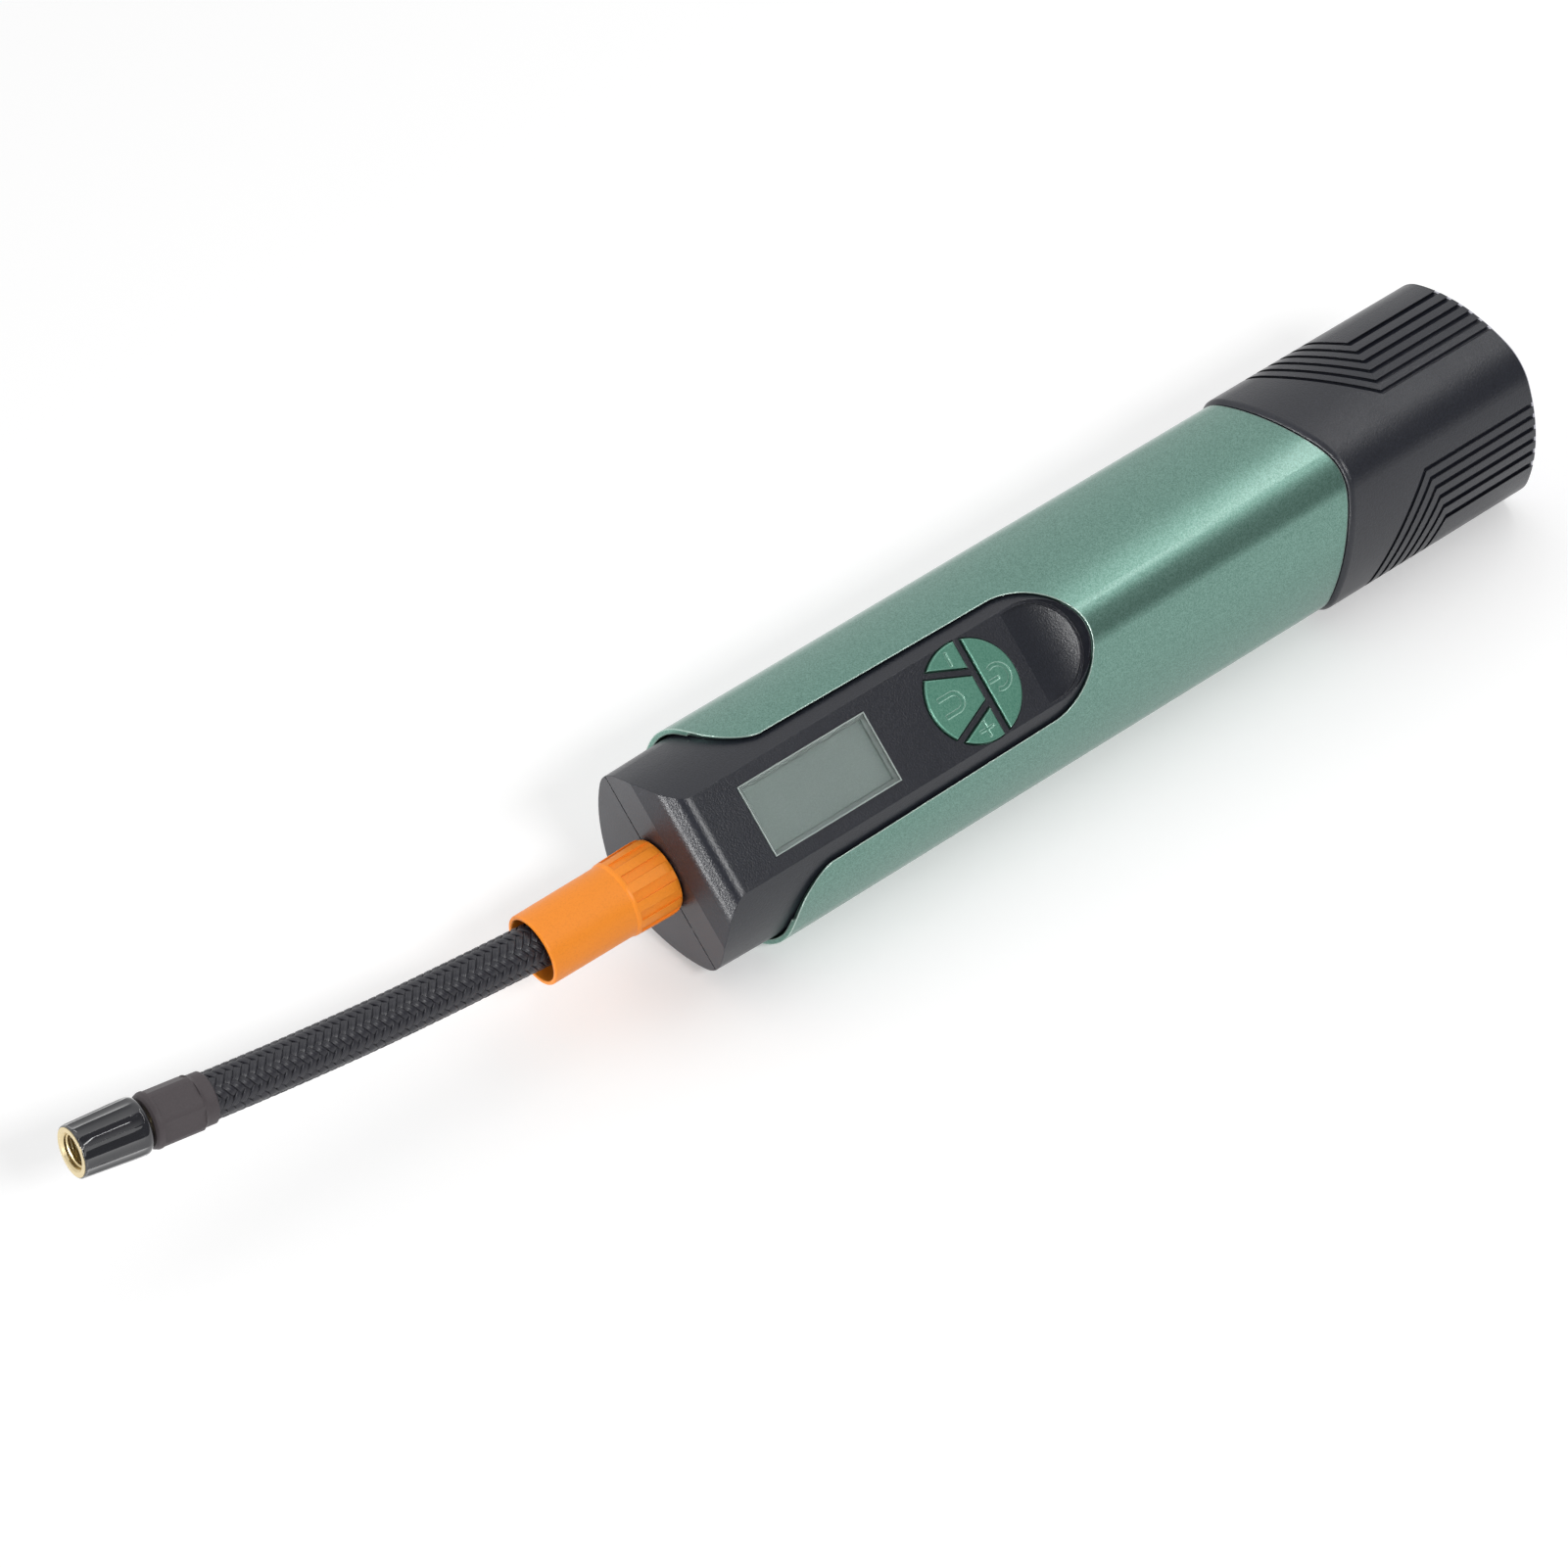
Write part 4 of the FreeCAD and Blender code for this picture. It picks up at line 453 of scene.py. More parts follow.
# Blackened sintered steel: brown black and dull, with an open grain.
ferrule_oxide = moulded("brown_black_sintered_ferrule", "#4A4346", 0.55, grain=0.2)
# Liquid crystal cell at rest: an even grey-green, smooth and slightly silky.
cell_glass = moulded("liquid_crystal_glass", "#B4C0BC", 0.35, grain=0.0)

# %% [markdown]
# ## Skins inside the case
#
# These are seen only when the case is opened, but each is what such a part is made of: a
# board under solder mask, a lamp chip under its yellow silicone, nylon gears, a slippery
# piston ring, and battery cells in shrink film.

# %% Skins inside
# Solder mask, screen printed and cured: deep green with a soft gloss.
board_mask = moulded("green_solder_mask", "#1E6B45", 0.35)
# Cast silicone with phosphor: a pale, milky yellow.
chip_silicone = moulded("phosphor_silicone", "#E5D26A", 0.5)
# Moulded nylon without dye: a warm, waxy off-white.
gear_nylon = moulded("natural_nylon", "#E4E1D6", 0.45)
# Turned fluoropolymer: whiter and smoother than the nylon.
ring_polymer = moulded("fluoropolymer", "#E8E6DE", 0.4)
# Heat-shrunk film: tight, smooth and glossy over the steel can.
cell_film = moulded("blue_shrink_film", "#2C62A8", 0.3, grain=0.0)

# %% [markdown]
# ## Metals
#
# Turned brass, bright steel and die-cast zinc differ in colour and in how rough their tool
# or mould left them. Rings from the lathe could be drawn one by one, but the only brass in
# sight is a narrow ring, so one fine noise in the gloss and the shade serves for all marks.
# All keep the default index of refraction, because a metal's colour sets its reflection.

# %% Metals
MARKS_MM = 0.5               # drawn size of the marks that a tool or a mould leaves
METAL_SWING = 0.08           # how far they take the roughness up and down


def metal(name, colour, rough):
    """A bare metal with fine marks."""
    material, tree, output = new_material(name)
    place = millimetres(tree)
    marks = add(tree, "TexNoise", {"Scale": 1 / MARKS_MM, "Detail": 3.0}, Vector=place)
    gloss = add(tree, "MapRange", {
        "To Min": max(rough - METAL_SWING, SMOOTHEST),
        "To Max": rough + METAL_SWING,
    }, Value=marks.outputs["Fac"])
    tint = add(tree, "MapRange", {"To Min": 0.9, "To Max": 1.05}, Value=marks.outputs["Fac"])
    shade = add(tree, "HueSaturation", {"Color": linear(colour)}, Value=tint.outputs[0])
    shader = add(tree, "BsdfPrincipled", {"Metallic": 1.0},
                 Base_Color=shade.outputs["Color"], Roughness=gloss.outputs[0])
    return finished(material, tree, output, shader)


# Brass from the lathe: a pale gold with crisp highlights.
turned_brass = metal("turned_brass", "#E4D2A6", 0.3)
# Drawn or rolled steel: neutral grey and fairly bright.
bright_steel = metal("bright_steel", "#B8B9BC", 0.3)
# Zinc as it leaves the mould: a duller grey with soft highlights.
cast_zinc = metal("die_cast_zinc", "#A6A8AC", 0.45)
# Aluminium vapour on smooth plastic: nearly a mirror.
lamp_mirror = metal("vacuum_metallised_reflector", "#E2E4E6", 0.10)

# %% [markdown]
# ## Clear plastics
#
# The window over the display is cast acrylic, polished on its face and edges. The work
# lamp's lens in the rear end is moulded polycarbonate, which bends light a little more.
# Mixing in a transparent shader would be quicker to render, but it bends no light, and
# then the window would have no thickness to the eye.

# %% Clear plastics
HAZE_SWING = 0.04            # how much rougher handling leaves a clear face in places


def clear(name, colour, rough, ior):
    """A clear plastic with a trace of haze."""
    material, tree, output = new_material(name)
    place = millimetres(tree)
    haze = add(tree, "TexNoise", {"Scale": 1 / HANDLING_MM, "Detail": 2.0}, Vector=place)
    gloss = add(tree, "MapRange", {"To Min": rough, "To Max": rough + HAZE_SWING},
                Value=haze.outputs["Fac"])
    shader = add(tree, "BsdfPrincipled", {
        "Base Color": linear(colour),
        "Transmission Weight": 1.0,
        "IOR": ior,
    }, Roughness=gloss.outputs[0])
    return finished(material, tree, output, shader)


# Cast and polished acrylic: water clear, with a sharp reflection over the grey cell.
window_acrylic = clear("cast_acrylic", "#F2F5F4", 0.02, ior=1.49)
# Moulded polycarbonate: clear, with a slightly softer reflection.
lamp_polycarbonate = clear("polycarbonate_lens", "#F4F6F8", 0.05, ior=1.58)

# %% [markdown]
# ## The hose's line
#
# The hose is a stiff rubber tube, 109 mm long from its seat in the orange nut to its stop
# in the ferrule. It leaves the nut along the body's axis and then bends gently to one
# side, in a plane that leans 26 degrees. A simulation could bend it, but a stiff hose keeps
# the curve that it has taken, so we follow that one. Eight listed points steer one
# smooth spline, and everything on the hose is laid along points read back from that spline.

# %% The hose's line
HOSE_LEAN = math.radians(26)
HOSE_ROUTE = [               # x, and how far to the side
    (-13.5, 0.0),
    (-23.0, 0.0),
    (-40.0, 1.35),
    (-58.0, 3.0),
    (-72.0, 4.4),
    (-86.0, 6.17),
    (-104.0, 8.7),
    (-113.8, 10.3),
]
FERRULE_GRIP = 8.0           # how far the hose goes on inside the ferrule
SPLINE_STEPS = 24
HOSE_NORMAL = BODY_TURN @ Vector((0, -math.sin(HOSE_LEAN), math.cos(HOSE_LEAN)))


def hose_plane(x, side):
    """A point in the plane that the hose bends in."""
    return at(x, side * math.cos(HOSE_LEAN), side * math.sin(HOSE_LEAN))


def spline_points(name, controls):
    """Points in metres along the NURBS spline that the control points steer."""
    curve = bpy.data.curves.new(name, "CURVE")
    curve.dimensions = "3D"
    curve.resolution_u = SPLINE_STEPS
    spline = curve.splines.new("NURBS")
    spline.points.add(len(controls) - 1)
    for control, point in zip(spline.points, controls):
        control.co = (*point, 1.0)
    spline.order_u = 3
    spline.use_endpoint_u = True
    guide = bpy.data.objects.new(name, curve)
    scene.collection.objects.link(guide)
    sampled = bpy.data.meshes.new_from_object(guide)
    points = [vertex.co.copy() for vertex in sampled.vertices]
    bpy.data.objects.remove(guide)
    bpy.data.meshes.remove(sampled)
    return points


hose_controls = [hose_plane(x, side) for x, side in HOSE_ROUTE]
TIP_PLACE = hose_controls[-1].copy()
TIP_WAY = (hose_controls[-1] - hose_controls[-2]).normalized()
hose_controls[-1] = TIP_PLACE + TIP_WAY * FERRULE_GRIP * MM
HOSE_LINE = spline_points("hose_line", hose_controls)
print("hose line:", len(HOSE_LINE), "points")

# %% [markdown]
# ## Meshes from points and faces
#
# The pieces that we make ourselves are all closed skins, built from rings of points. Two
# helpers serve them: one joins rings of points by faces, and one makes the mesh and turns
# every face outwards, which a closed skin allows Blender to work out by itself.

# %% Mesh helpers
def grid_faces(rows, columns, offset):
    """Faces of a tube: rows of closed rings with so many columns, capped at both ends."""
    faces = []
    for row in range(rows - 1):
        low = offset + row * columns
        high = low + columns
        for column in range(columns):
            after = (column + 1) % columns
            faces.append((low + column, low + after, high + after, high + column))
    last = offset + (rows - 1) * columns
    faces.append(tuple(offset + column for column in reversed(range(columns))))
    faces.append(tuple(last + column for column in range(columns)))
    return faces


def face_outwards(mesh):
    """Turns every face of a closed mesh so that it looks out."""
    shape = bmesh.new()
    shape.from_mesh(mesh)
    bmesh.ops.recalc_face_normals(shape, faces=shape.faces)
    shape.to_mesh(mesh)
    shape.free()


def closed_mesh(name, points, faces):
    """A mesh from points and faces, with its faces turned outwards."""
    mesh = bpy.data.meshes.new(name)
    mesh.from_pydata(points, [], faces)
    face_outwards(mesh)
    return mesh


print("faces of a tube with 3 rings of 4 points:", len(grid_faces(3, 4, 0)))

# %% [markdown]
# ## Places round the hose
#
# A strand of the braid is easy to describe on a straight tube: so far along, at this angle,
# at this radius. `HoseFrame` bends that description onto the hose's line. A curve modifier
# could do this, but it would have to be applied before the pieces can be measured. The line
# lies in one plane, so the plane's normal serves as "up" all the way and nothing can twist.

# %% Frame along the hose
class HoseFrame:
    """Places points by distance along the hose, angle around it and radius, in mm."""

    def __init__(self, line):
        self.points = np.array(line)
        steps = np.linalg.norm(np.diff(self.points, axis=0), axis=1)
        self.along = np.concatenate([[0.0], np.cumsum(steps)]) / MM
        ahead = np.gradient(self.points, axis=0)
        self.ahead = ahead / np.linalg.norm(ahead, axis=1)[:, None]
        self.length = self.along[-1]

    def read(self, distance, values):
        """Values known at the line's points, read at distances along it."""
        axes = [np.interp(distance, self.along, values[:, k]) for k in range(3)]
        return np.stack(axes, -1)

    def place(self, distance, angle, radius):
        """The points at those distances, angles and radii, in metres."""
        distance = np.clip(distance, 0, self.length)
        centre = self.read(distance, self.points)
        ahead = self.read(distance, self.ahead)
        normal = np.array(HOSE_NORMAL)
        side = np.cross(normal, ahead)
        outward = np.cos(angle)[..., None] * normal + np.sin(angle)[..., None] * side
        return centre + radius[..., None] * MM * outward


hose_frame = HoseFrame(HOSE_LINE)
print("hose", round(hose_frame.length, 1), "mm along its line")

# %% [markdown]
# ## One strand of the braid
#
# The cover is a two-over, two-under braid of black polyester: 12 flat strands wind one way
# and 12 the other, each of three yarns side by side. Where a strand goes over or under
# depends only on the angle around the hose, which is why the eye sees rows of chevrons
# that run along it. Each strand is a real ribbon here, and not a picture of one, so the
# braid has its own silhouette and its own shadows.

# %% Strand
STRANDS = 12                 # each way
BRAID_LEAD = 24.0            # length in which a strand goes round once
BRAID_RADIUS = 4.69
STRAND_STEP = 0.6            # between two cross sections of a strand
STRAND_WIDTH = 1.62
STRAND_HALF_THICKNESS = 0.2
STRAND_UNDERSIDE = 0.4       # half width of its flat underside, as a share of the width
STRAND_YARNS = 3
YARN_POINTS = 4              # points across each yarn
YARN_RELIEF = 0.05
CROWN_POWER = 3              # 2 would be a round crown, and more is flatter
WEAVE_HEIGHT = 0.3           # how far a strand swings out and in
WEAVE_REPEAT = 4             # crossings after which over and under repeat
WEAVE_SNAP = 2               # how quickly a strand changes between them


def strand_profile():
    """Across a strand: offsets from its middle and heights, round the closed section."""
    across = np.linspace(-0.5, 0.5, STRAND_YARNS * YARN_POINTS + 1)
    flat = np.clip(1 - np.abs(2 * across) ** CROWN_POWER, 0, 1)
    crown = STRAND_HALF_THICKNESS * np.sqrt(flat)
    yarn = YARN_RELIEF * np.abs(np.sin(math.pi * STRAND_YARNS * (across + 0.5)))
    under = STRAND_UNDERSIDE * STRAND_WIDTH
    offsets = list(across * STRAND_WIDTH) + [under, -under]
    heights = list(crown + yarn) + [-STRAND_HALF_THICKNESS] * 2
    return np.array(offsets), np.array(heights)


def strand_points(way, index):
    """One strand's grid of points: way is 1 or -1, for the direction in which it winds."""
    offsets, heights = strand_profile()
    steps = int(hose_frame.length / STRAND_STEP)
    distance = np.linspace(0, hose_frame.length, steps)[:, None]
    turn = 2 * math.pi * (way * distance / BRAID_LEAD + index / STRANDS)
    lean = math.atan(2 * math.pi * BRAID_RADIUS / BRAID_LEAD)
    crossing = STRANDS * turn / math.pi
    wave = np.cos(2 * math.pi * (crossing - 0.5) / WEAVE_REPEAT)
    swing = np.tanh(WEAVE_SNAP * wave) / math.tanh(WEAVE_SNAP)
    radius = BRAID_RADIUS + way * WEAVE_HEIGHT * swing + heights[None, :]
    along = distance - way * offsets[None, :] * math.sin(lean)
    around = turn + offsets[None, :] * math.cos(lean) / BRAID_RADIUS
    return hose_frame.place(along, around, radius)


print("strand:", strand_points(1, 0).shape[:2], "points along and around")

# %% [markdown]
# ## The braided hose
#
# All strands and a plain dark tube inside them, which stands for the rubber that shows
# between, become one mesh with two materials. It takes the place of the hose's plain solid.

# %% Braided hose
RUBBER_RADIUS = 4.3
RUBBER_STEP = 2.0            # between two rings of the tube
RUBBER_SIDES = 32


def rubber_grid():
    """The rings of points of the plain tube."""
    rows = int(hose_frame.length / RUBBER_STEP)
    distance = np.linspace(0, hose_frame.length, rows)[:, None]
    turns = np.linspace(0, 2 * math.pi, RUBBER_SIDES + 1)[:-1]
    distance = np.repeat(distance, RUBBER_SIDES, axis=1)
    angle = np.repeat(turns[None, :], rows, axis=0)
    return hose_frame.place(distance, angle, np.full_like(angle, RUBBER_RADIUS))


grids = [rubber_grid()]
grids += [strand_points(way, index) for way in (1, -1) for index in range(STRANDS)]
hose_points = []
hose_faces = []
for grid in grids:
    hose_faces += grid_faces(grid.shape[0], grid.shape[1], len(hose_points))
    hose_points += [tuple(point) for point in grid.reshape(-1, 3)]
hose_mesh = closed_mesh("braided_hose", hose_points, hose_faces)
rubber_faces = len(grid_faces(*grids[0].shape[:2], 0))
for index, face in enumerate(hose_mesh.polygons):
    face.use_smooth = True
    face.material_index = 0 if index < rubber_faces else 1
hose_piece = put("braided_hose", hose_mesh)
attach(hose_piece, "inflator")
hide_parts("hose")
print("braided hose", len(hose_mesh.polygons), "faces")

# %% [markdown]
# ## Signs pressed into the keys
#
# The four keys together make a disc. Each has a plain sign sunk 0.2 mm into its top: a
# power ring, a letter U for the unit, a minus and a plus. The signs read from the hose's
# end, so their top is towards the nose. A material could paint them, but pressed signs have
# walls, and those walls are what the light shows. So each sign is an outline drawn in the
# panel's plane, made into a shallow block, and cut out of a copy of the key.

# %% Outlines of the signs
POWER_CENTRE = (82.6, -0.1)
POWER_RADII = (3.2, 2.3)     # outside and inside of the ring
POWER_GAP_DEG = 62           # half of the ring's opening, which looks to the nose
POWER_BAR = (79.9, 82.7, -0.65, 0.15)
UNIT_END_X = 67.0            # where the letter's two arms end
UNIT_BEND_X = 70.4           # centre of its round end
UNIT_RADII = (2.5, 1.5)
MINUS_BAR = (73.75, 74.35, 6.9, 10.2)
PLUS_CENTRE = (74.1, -8.5)
PLUS_ARM = 1.9
PLUS_HALF_WIDTH = 0.3
ARC_STEPS = 20


def arc(x, y, radius, first, last):
    """Points along an arc; angles in degrees from the panel's x towards its y."""
    sweep = last - first
    turns = [math.radians(first + sweep * step / ARC_STEPS) for step in range(ARC_STEPS + 1)]
    return [(x + radius * math.cos(turn), y + radius * math.sin(turn)) for turn in turns]


def rectangle(x0, x1, y0, y1):
    """The outline of a bar."""
    return [(x0, y0), (x1, y0), (x1, y1), (x0, y1)]


def power_sign():
    """A ring with an opening, and a bar that stands in it."""
    outer, inner = POWER_RADII
    end = 180 - POWER_GAP_DEG
    ring = arc(*POWER_CENTRE, outer, -end, end) + arc(*POWER_CENTRE, inner, end, -end)
    return [ring, rectangle(*POWER_BAR)]


def unit_sign():
    """A letter U on its side."""
    wide, narrow = UNIT_RADII
    outer = [(UNIT_END_X, -wide)] + arc(UNIT_BEND_X, 0, wide, -90, 90) + [(UNIT_END_X, wide)]
    inner = [(UNIT_END_X, narrow)] + arc(UNIT_BEND_X, 0, narrow, 90, -90)
    return [outer + inner + [(UNIT_END_X, -narrow)]]


def minus_sign():
    """A single bar."""
    return [rectangle(*MINUS_BAR)]


def plus_sign():
    """A cross: one outline of twelve corners."""
    x, y = PLUS_CENTRE
    arm, half = PLUS_ARM, PLUS_HALF_WIDTH
    return [[
        (x - arm, y - half), (x - half, y - half), (x - half, y - arm), (x + half, y - arm),
        (x + half, y - half), (x + arm, y - half), (x + arm, y + half), (x + half, y + half),
        (x + half, y + arm), (x - half, y + arm), (x - half, y + half), (x - arm, y + half),
    ]]


print("power sign:", len(power_sign()), "outlines, of", len(power_sign()[0]), "and 4 points")

# %% [markdown]
# ## Tools to cut a sign
#
# A key's solid arrives as a mesh whose flat faces are split from each other. It is joined
# to one skin first, because only a closed skin can be cut. The block that cuts it stands
# on the sign's outline and reaches above the key, so that no two faces lie in one plane.

# %% Block, skin and cut
WELD_MM = 0.002              # points nearer than this are one point


def block_mesh(name, outlines, low, high):
    """A mesh of straight blocks over outlines in the panel's plane, between two heights."""
    points = []
    faces = []
    for outline in outlines:
        count = len(outline)
        start = len(points)
        points += [at(x, y, low) for x, y in outline] + [at(x, y, high) for x, y in outline]
        faces.append(tuple(start + k for k in reversed(range(count))))
        faces.append(tuple(start + count + k for k in range(count)))
        for k in range(count):
            after = (k + 1) % count
            faces.append((start + k, start + after, start + count + after, start + count + k))
    return closed_mesh(name, points, faces)


def welded_copy(node, name):
    """A copy of a node's mesh with its split edges joined, so that it is one closed skin."""
    mesh = NODES[node].data.copy()
    mesh.name = name
    shape = bmesh.new()
    shape.from_mesh(mesh)
    bmesh.ops.remove_doubles(shape, verts=shape.verts, dist=WELD_MM * MM)
    shape.to_mesh(mesh)
    shape.free()
    if "custom_normal" in mesh.attributes:
        mesh.attributes.remove(mesh.attributes["custom_normal"])
    return put(name, mesh)


def cut_out(piece, cutter_mesh):
    """Cuts a mesh out of a piece, whose own mesh is then the result of the cut."""
    cutter = put("cutter", cutter_mesh)
    cut = piece.modifiers.new("cut", "BOOLEAN")
    cut.operation = "DIFFERENCE"
    cut.solver = "EXACT"
    cut.object = cutter
    bpy.context.view_layer.update()
    seen = piece.evaluated_get(bpy.context.evaluated_depsgraph_get())
    result = bpy.data.meshes.new_from_object(seen)
    piece.modifiers.clear()
    piece.data = result
    bpy.data.objects.remove(cutter)


print("points of a key are joined within", WELD_MM, "mm")

# %% [markdown]
# ## The keys with their signs
#
# After the cut the flat top keeps flat shading, and only the rim is smooth: otherwise the
# top's long thin triangles would catch false streaks of light.

# %% Keys
KEY_TOP = 20.6
SIGN_DEPTH = 0.2
CUT_CLEARANCE = 1            # how far the cutting block reaches above the key
FLAT_TOP = 0.9995            # cosine to the panel's normal of what still counts as flat
KEY_CREASE = math.radians(30)


def shade_key(piece):
    """Smooth shading, with the flat top and its signs kept apart from the rounded rim."""
    up = BODY_TURN @ Vector((0, 0, 1))
    level = [face.normal.dot(up) > FLAT_TOP for face in piece.data.polygons]
    shape = bmesh.new()
    shape.from_mesh(piece.data)
    for edge in shape.edges:
        kinds = {level[face.index] for face in edge.link_faces}
        edge.smooth = len(kinds) == 1 and edge.calc_face_angle(math.pi) < KEY_CREASE
    for face in shape.faces:
        face.smooth = not level[face.index]
    shape.to_mesh(piece.data)
    shape.free()


KEY_SIGNS = {"power": power_sign, "unit": unit_sign, "minus": minus_sign, "plus": plus_sign}
KEY_PIECES = []
for key, sign in KEY_SIGNS.items():
    piece = welded_copy(key + "_button", key + "_key_with_sign")
    block = block_mesh(key + "_sign", sign(), KEY_TOP - SIGN_DEPTH, KEY_TOP + CUT_CLEARANCE)
    cut_out(piece, block)
    shade_key(piece)
    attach(piece, key + "_key")
    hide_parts(key + "_button")
    KEY_PIECES.append(piece)
    print(piece.name, len(piece.data.polygons), "faces")

# %% [markdown]
# ## The display's frame
#
# Under the clear window the liquid crystal cell lies in a pocket of the black case. On the
# real product a printed frame of the cell's own grey hides the pocket's ledge and wall, so
# that the grey runs right up to the window's edge. It is a thin angle section, swept round
# the window's four sides with mitred corners. On top, a fine raised rim closes the slit
# between the window and the case. It is opaque and wears the cell's pale grey, so its pale
# line round all four sides is a painted highlight, along with the little real light that it
# catches.

# %% Frame and rim of the window
WINDOW_X = (16.45, 50.75)
WINDOW_HALF = 8.425
WINDOW_LOW = 18.65
WINDOW_HIGH = 20.15
CELL_TOP = 17.8
LEDGE = 1.1                  # width of the ledge that the window lies on
FRAME_EDGE = 0.03            # how far the frame stays inside the window's outline
FRAME_THICKNESS = 0.04
FRAME_GAP = 0.01             # between the frame and the ledge it covers
RIM_EDGE = 0.02              # how far the rim stays inside the window's outline
RIM_LIFT = 0.005
RIM_WIDTH = 0.3
RIM_HEIGHT = 0.08


def swept_round_window(name, section):
    """A closed section of (inward, height) points, swept round the window's four sides."""
    points = []
    faces = []
    for x_way, y_way in ((1, 1), (-1, 1), (-1, -1), (1, -1)):
        for inward, height in section:
            x = WINDOW_X[0] + inward if x_way > 0 else WINDOW_X[1] - inward
            y = -WINDOW_HALF + inward if y_way > 0 else WINDOW_HALF - inward
            points.append(at(x, y, height))
    count = len(section)
    for corner in range(4):
        here = corner * count
        there = (corner + 1) % 4 * count
        for k in range(count):
            after = (k + 1) % count
            faces.append((here + k, here + after, there + after, there + k))
    piece = put(name, closed_mesh(name, points, faces))
    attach(piece, "inflator")
    return piece


frame_low = WINDOW_LOW + FRAME_GAP
frame_high = frame_low + FRAME_THICKNESS
display_frame = swept_round_window("display_frame", [
    (FRAME_EDGE, frame_high),
    (LEDGE + FRAME_THICKNESS, frame_high),
    (LEDGE + FRAME_THICKNESS, CELL_TOP),
    (LEDGE + FRAME_GAP, CELL_TOP),
    (LEDGE + FRAME_GAP, frame_low),
    (FRAME_EDGE, frame_low),
])
# The rim's pale grey is a painted highlight along the window's edge.
rim_low = WINDOW_HIGH + RIM_LIFT
window_highlight_rim = swept_round_window("window_highlight_rim", [
    (RIM_EDGE, rim_low),
    (RIM_EDGE, rim_low + RIM_HEIGHT * 0.6),
    (RIM_EDGE + RIM_WIDTH * 0.3, rim_low + RIM_HEIGHT),
    (RIM_EDGE + RIM_WIDTH * 0.7, rim_low + RIM_HEIGHT),
    (RIM_EDGE + RIM_WIDTH, rim_low),
])
print("display frame", len(display_frame.data.polygons), "faces,",
      "rim", len(window_highlight_rim.data.polygons))

# %% [markdown]
# ## The tyre valve's thread
#
# The chuck screws onto a tyre valve, whose thread is 7.7 mm across with 32 turns to the
# inch. The solid has a plain bore; the thread's ridge is a helix with a narrow flat crest,
# laid on the bore's wall at the end of the hose. A screw modifier would make such a helix,
# but this one runs out over a turn at both ends, which is simpler point by point.

# %% Thread in the chuck's mouth
CHUCK_FACE = 31.65           # from the ferrule's rear face to the brass mouth
THREAD_FROM = 24.4
THREAD_TO = CHUCK_FACE - 0.6
THREAD_PITCH = 25.4 / 32
THREAD_DEPTH = 0.42
THREAD_HALF_FOOT = 0.38 * THREAD_PITCH
THREAD_HALF_CREST = 0.06
BORE_RADIUS = 3.85
FOOT_SINK = 0.04             # how deep the ridge's foot lies in the bore's wall
CREST_SINK = 0.03            # and its crest, where it has run out
TURN_STEPS = 40


def tip_place(along, angle, radius):
    """A point round the hose's end, so far ahead of the ferrule's rear face, in mm."""
    up = Vector(HOSE_NORMAL)
    side = up.cross(TIP_WAY)
    outward = up * math.cos(angle) + side * math.sin(angle)
    return TIP_PLACE + TIP_WAY * along * MM + outward * radius * MM


def make_thread():
    """The ridge of the thread, which turns with the chuck."""
    steps = int((THREAD_TO - THREAD_FROM) / THREAD_PITCH * TURN_STEPS)
    foot = BORE_RADIUS + FOOT_SINK
    points = []
    for step in range(steps + 1):
        angle = 2 * math.pi * step / TURN_STEPS
        along = THREAD_FROM + THREAD_PITCH * step / TURN_STEPS
        run_out = min(1.0, step / TURN_STEPS, (steps - step) / TURN_STEPS)
        crest = BORE_RADIUS + CREST_SINK - THREAD_DEPTH * run_out
        points.append(tip_place(along - THREAD_HALF_FOOT, angle, foot))
        points.append(tip_place(along - THREAD_HALF_CREST, angle, crest))
        points.append(tip_place(along + THREAD_HALF_CREST, angle, crest))
        points.append(tip_place(along + THREAD_HALF_FOOT, angle, foot))
    mesh = closed_mesh("valve_thread", points, grid_faces(steps + 1, 4, 0))
    thread = put("valve_thread", mesh)
    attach(thread, "chuck")
    return thread


valve_thread = make_thread()
print("thread", len(valve_thread.data.polygons), "faces")

# %% [markdown]
# ## The fluted grip
#
# The chuck is turned by hand, so its black grip has fifteen shallow hollows along it, with
# narrow ridges between. Each hollow is a small concave mirror: the one long lamp overhead
# is drawn again and again as bright lines. Cutting them out with fifteen rollers would
# leave ragged faces, which gloss shows at once, so the whole skin is laid in even rings. Its
# outline is the solid's own, with the hollows sunk into it and a thin lip round the mouth.

# %% Grip of the chuck
FLUTES = 15
FLUTE_DEPTH = 0.36
FLUTE_FROM = 17.0
FLUTE_TO = 31.2
FLUTE_REAR_FADE = 0.6        # length in which a hollow gains its depth at the rear
FLUTE_FRONT_FADE = 0.3       # and at the front
STEPS_PER_FLUTE = 12
GRIP_CREASE = math.radians(50)
GRIP_OUTSIDE = [             # distance ahead of the ferrule's rear face, and radius
    (15.70, 3.55), (15.70, 5.65), (15.90, 6.00), (16.40, 6.30), (17.00, 6.38), (17.40, 6.39),
    (18.00, 6.37), (20.00, 6.29), (24.00, 6.13), (28.00, 5.97), (30.60, 5.86), (31.00, 5.83),
    (31.30, 5.79), (31.45, 5.72), (31.50, 5.62),
]
GRIP_INSIDE = [(31.50, 5.47), (31.03, 5.47), (31.03, 5.32), (16.28, 5.32), (16.28, 3.55)]


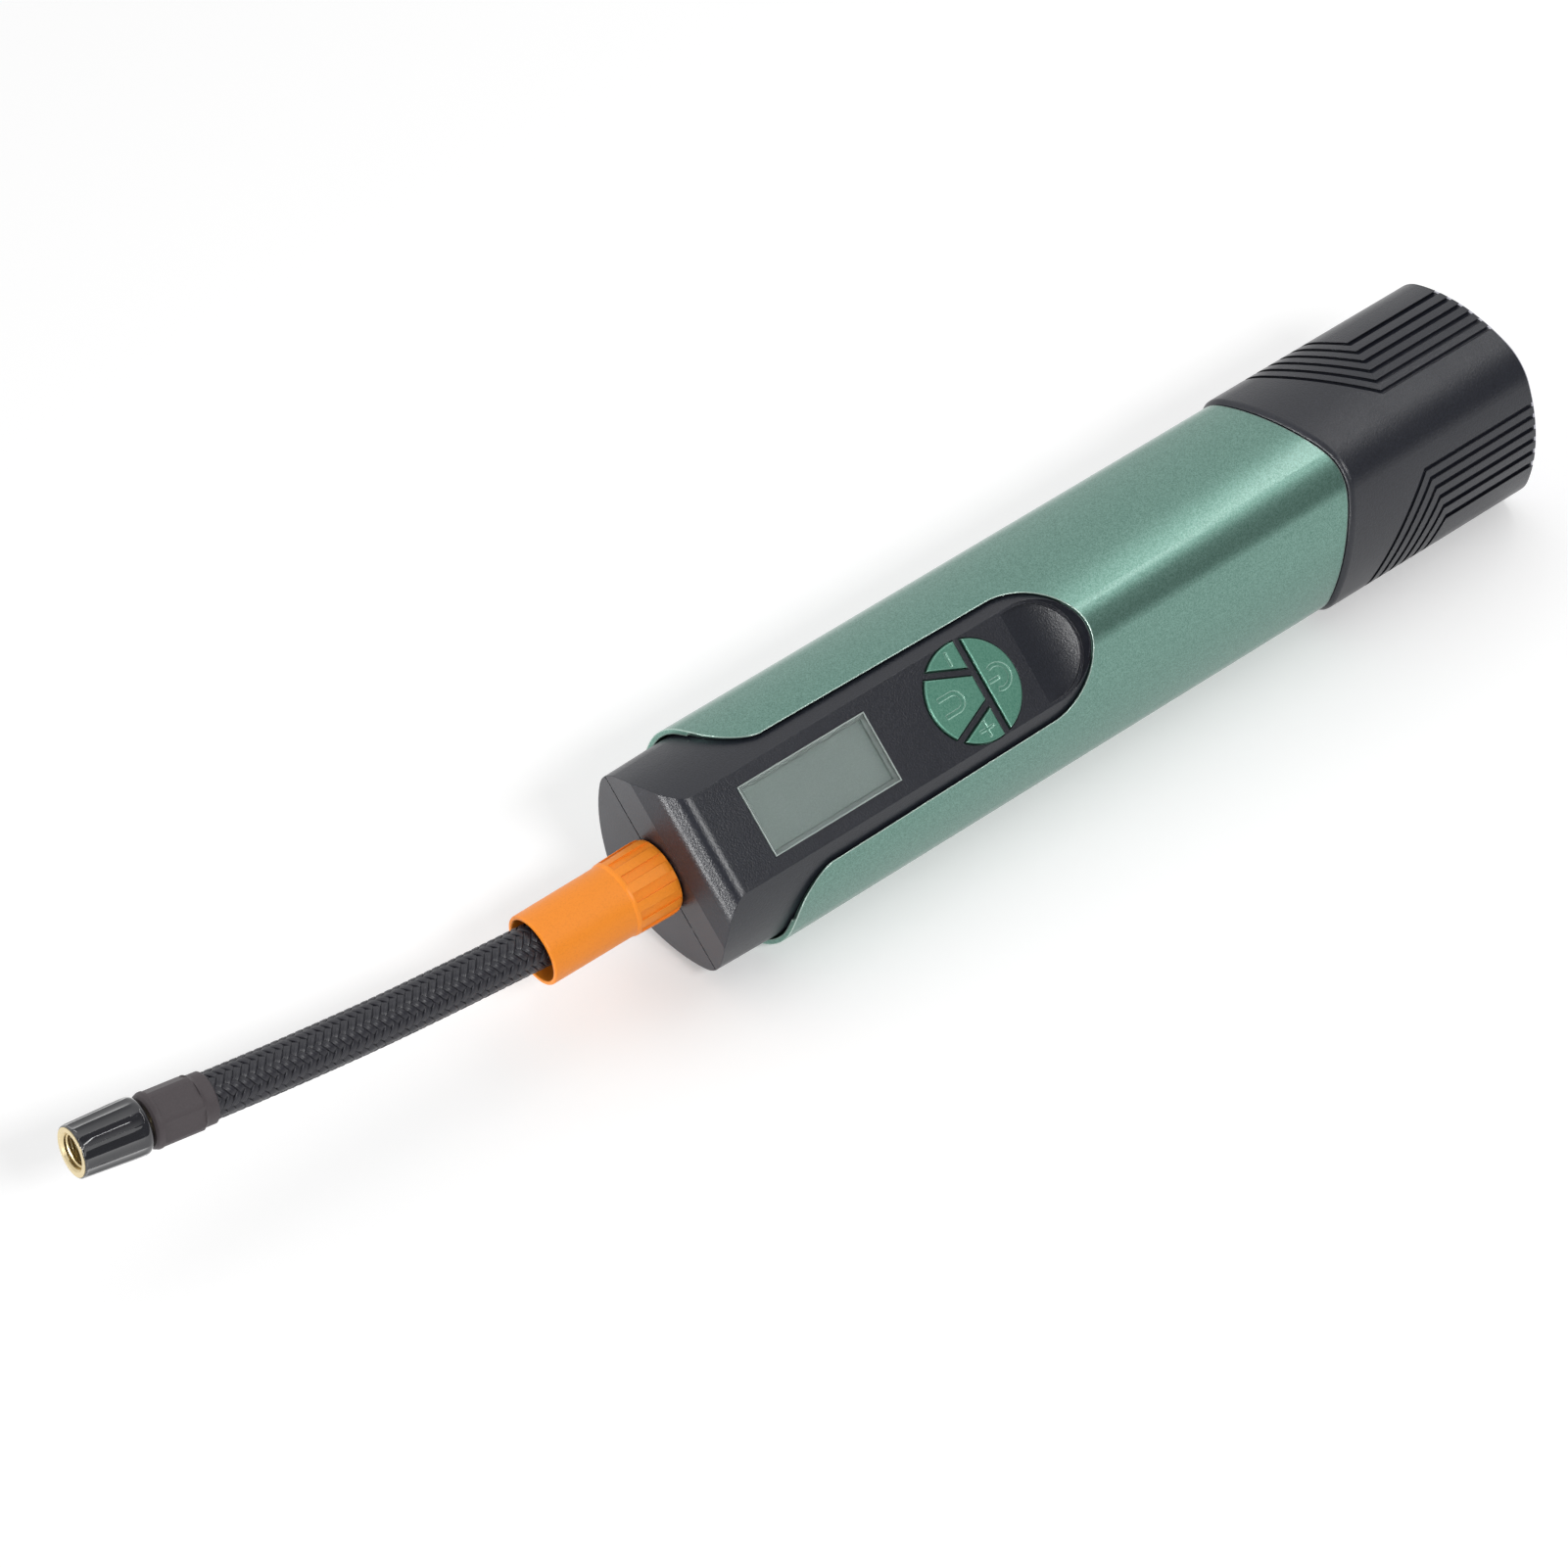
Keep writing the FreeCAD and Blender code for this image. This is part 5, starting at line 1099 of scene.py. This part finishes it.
def flute(along, angle):
    """How deep a hollow is at a place on the grip."""
    across = angle * FLUTES / (2 * math.pi) % 1
    rear = max(0.0, (along - FLUTE_FROM) / FLUTE_REAR_FADE)
    front = max(0.0, (FLUTE_TO - along) / FLUTE_FRONT_FADE)
    return FLUTE_DEPTH * min(1.0, rear, front) * (1 - (2 * across - 1) ** 2)


def make_grip():
    """The grip as one closed skin, from its outside over the lip to its inside."""
    columns = FLUTES * STEPS_PER_FLUTE
    rings = [(along, radius, True) for along, radius in GRIP_OUTSIDE]
    rings += [(along, radius, False) for along, radius in GRIP_INSIDE]
    points = []
    for along, radius, outside in rings:
        for column in range(columns):
            angle = 2 * math.pi * column / columns
            depth = flute(along, angle) if outside else 0
            points.append(tip_place(along, angle, radius - depth))
    faces = []
    for ring in range(len(rings)):
        here = ring * columns
        there = (ring + 1) % len(rings) * columns
        for column in range(columns):
            after = (column + 1) % columns
            faces.append((here + column, here + after, there + after, there + column))
    mesh = closed_mesh("fluted_grip", points, faces)
    for face in mesh.polygons:
        face.use_smooth = True
    mesh.set_sharp_from_angle(angle=GRIP_CREASE)
    grip = put("fluted_grip", mesh)
    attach(grip, "chuck")
    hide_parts("chuck_sleeve")
    return grip


fluted_grip = make_grip()
print("grip", len(fluted_grip.data.polygons), "faces")

# %% [markdown]
# ## The pieces on the hose's end
#
# The hose is soft where the body is hard. Here we only list what hangs on its far end:
# the ferrule and the pieces of the chuck.

ON_THE_HOSE = [NODES[name] for name in (
    "hose_ferrule", "chuck_stem", "chuck_insert", "chuck_seal", "valve_pin",
)]
ON_THE_HOSE += [fluted_grip, valve_thread]
print("pieces on the hose:", len(ON_THE_HOSE))

# %% [markdown]
# ## A finish for every slot
#
# Each solid names a slot, and each slot gets one of the finishes made above. The pieces
# that we made ourselves take the finish of their own slot. Only the hose has two: rubber
# on its inner tube, and the braid's polyester on the strands.

# %% Finish of every slot
FINISH = {
    "anodised_sleeve": tube_lacquer,
    "key_plastic": key_lacquer,
    "case_plastic": case_abs,
    "plate_plastic": plate_abs,
    "nut_plastic": nut_polypropylene,
    "grip_plastic": grip_abs,
    "soft_rubber": hose_rubber,
    "hose_rubber": braid_polyester,
    "blackened_steel": ferrule_oxide,
    "display_glass": cell_glass,
    "window_acrylic": window_acrylic,
    "lamp_glass": lamp_polycarbonate,
    "lamp_mirror": lamp_mirror,
    "lamp_chip": chip_silicone,
    "circuit_board": board_mask,
    "gear_nylon": gear_nylon,
    "slide_ring": ring_polymer,
    "cell_can": cell_film,
    "brass": turned_brass,
    "steel": bright_steel,
    "zinc_casting": cast_zinc,
}


def dress(piece, slot):
    """Gives a piece's mesh the finish of this slot, and no other."""
    piece.data.materials.clear()
    piece.data.materials.append(FINISH[slot])


for part in frame["record"]["subparts"]:
    dress(NODES[part["node"]], part["material_slot"])
for piece in KEY_PIECES:
    dress(piece, "key_plastic")
dress(display_frame, "display_glass")
# The rim takes the cell's pale grey as a painted highlight.
dress(window_highlight_rim, "display_glass")
dress(fluted_grip, "grip_plastic")
dress(valve_thread, "brass")
# The hose's faces already say which of its two finishes they take. Clearing a mesh's
# materials would reset that on every face, so these two are only appended.
hose_mesh.materials.append(FINISH["soft_rubber"])
hose_mesh.materials.append(FINISH["hose_rubber"])
print("finishes:", len(FINISH))
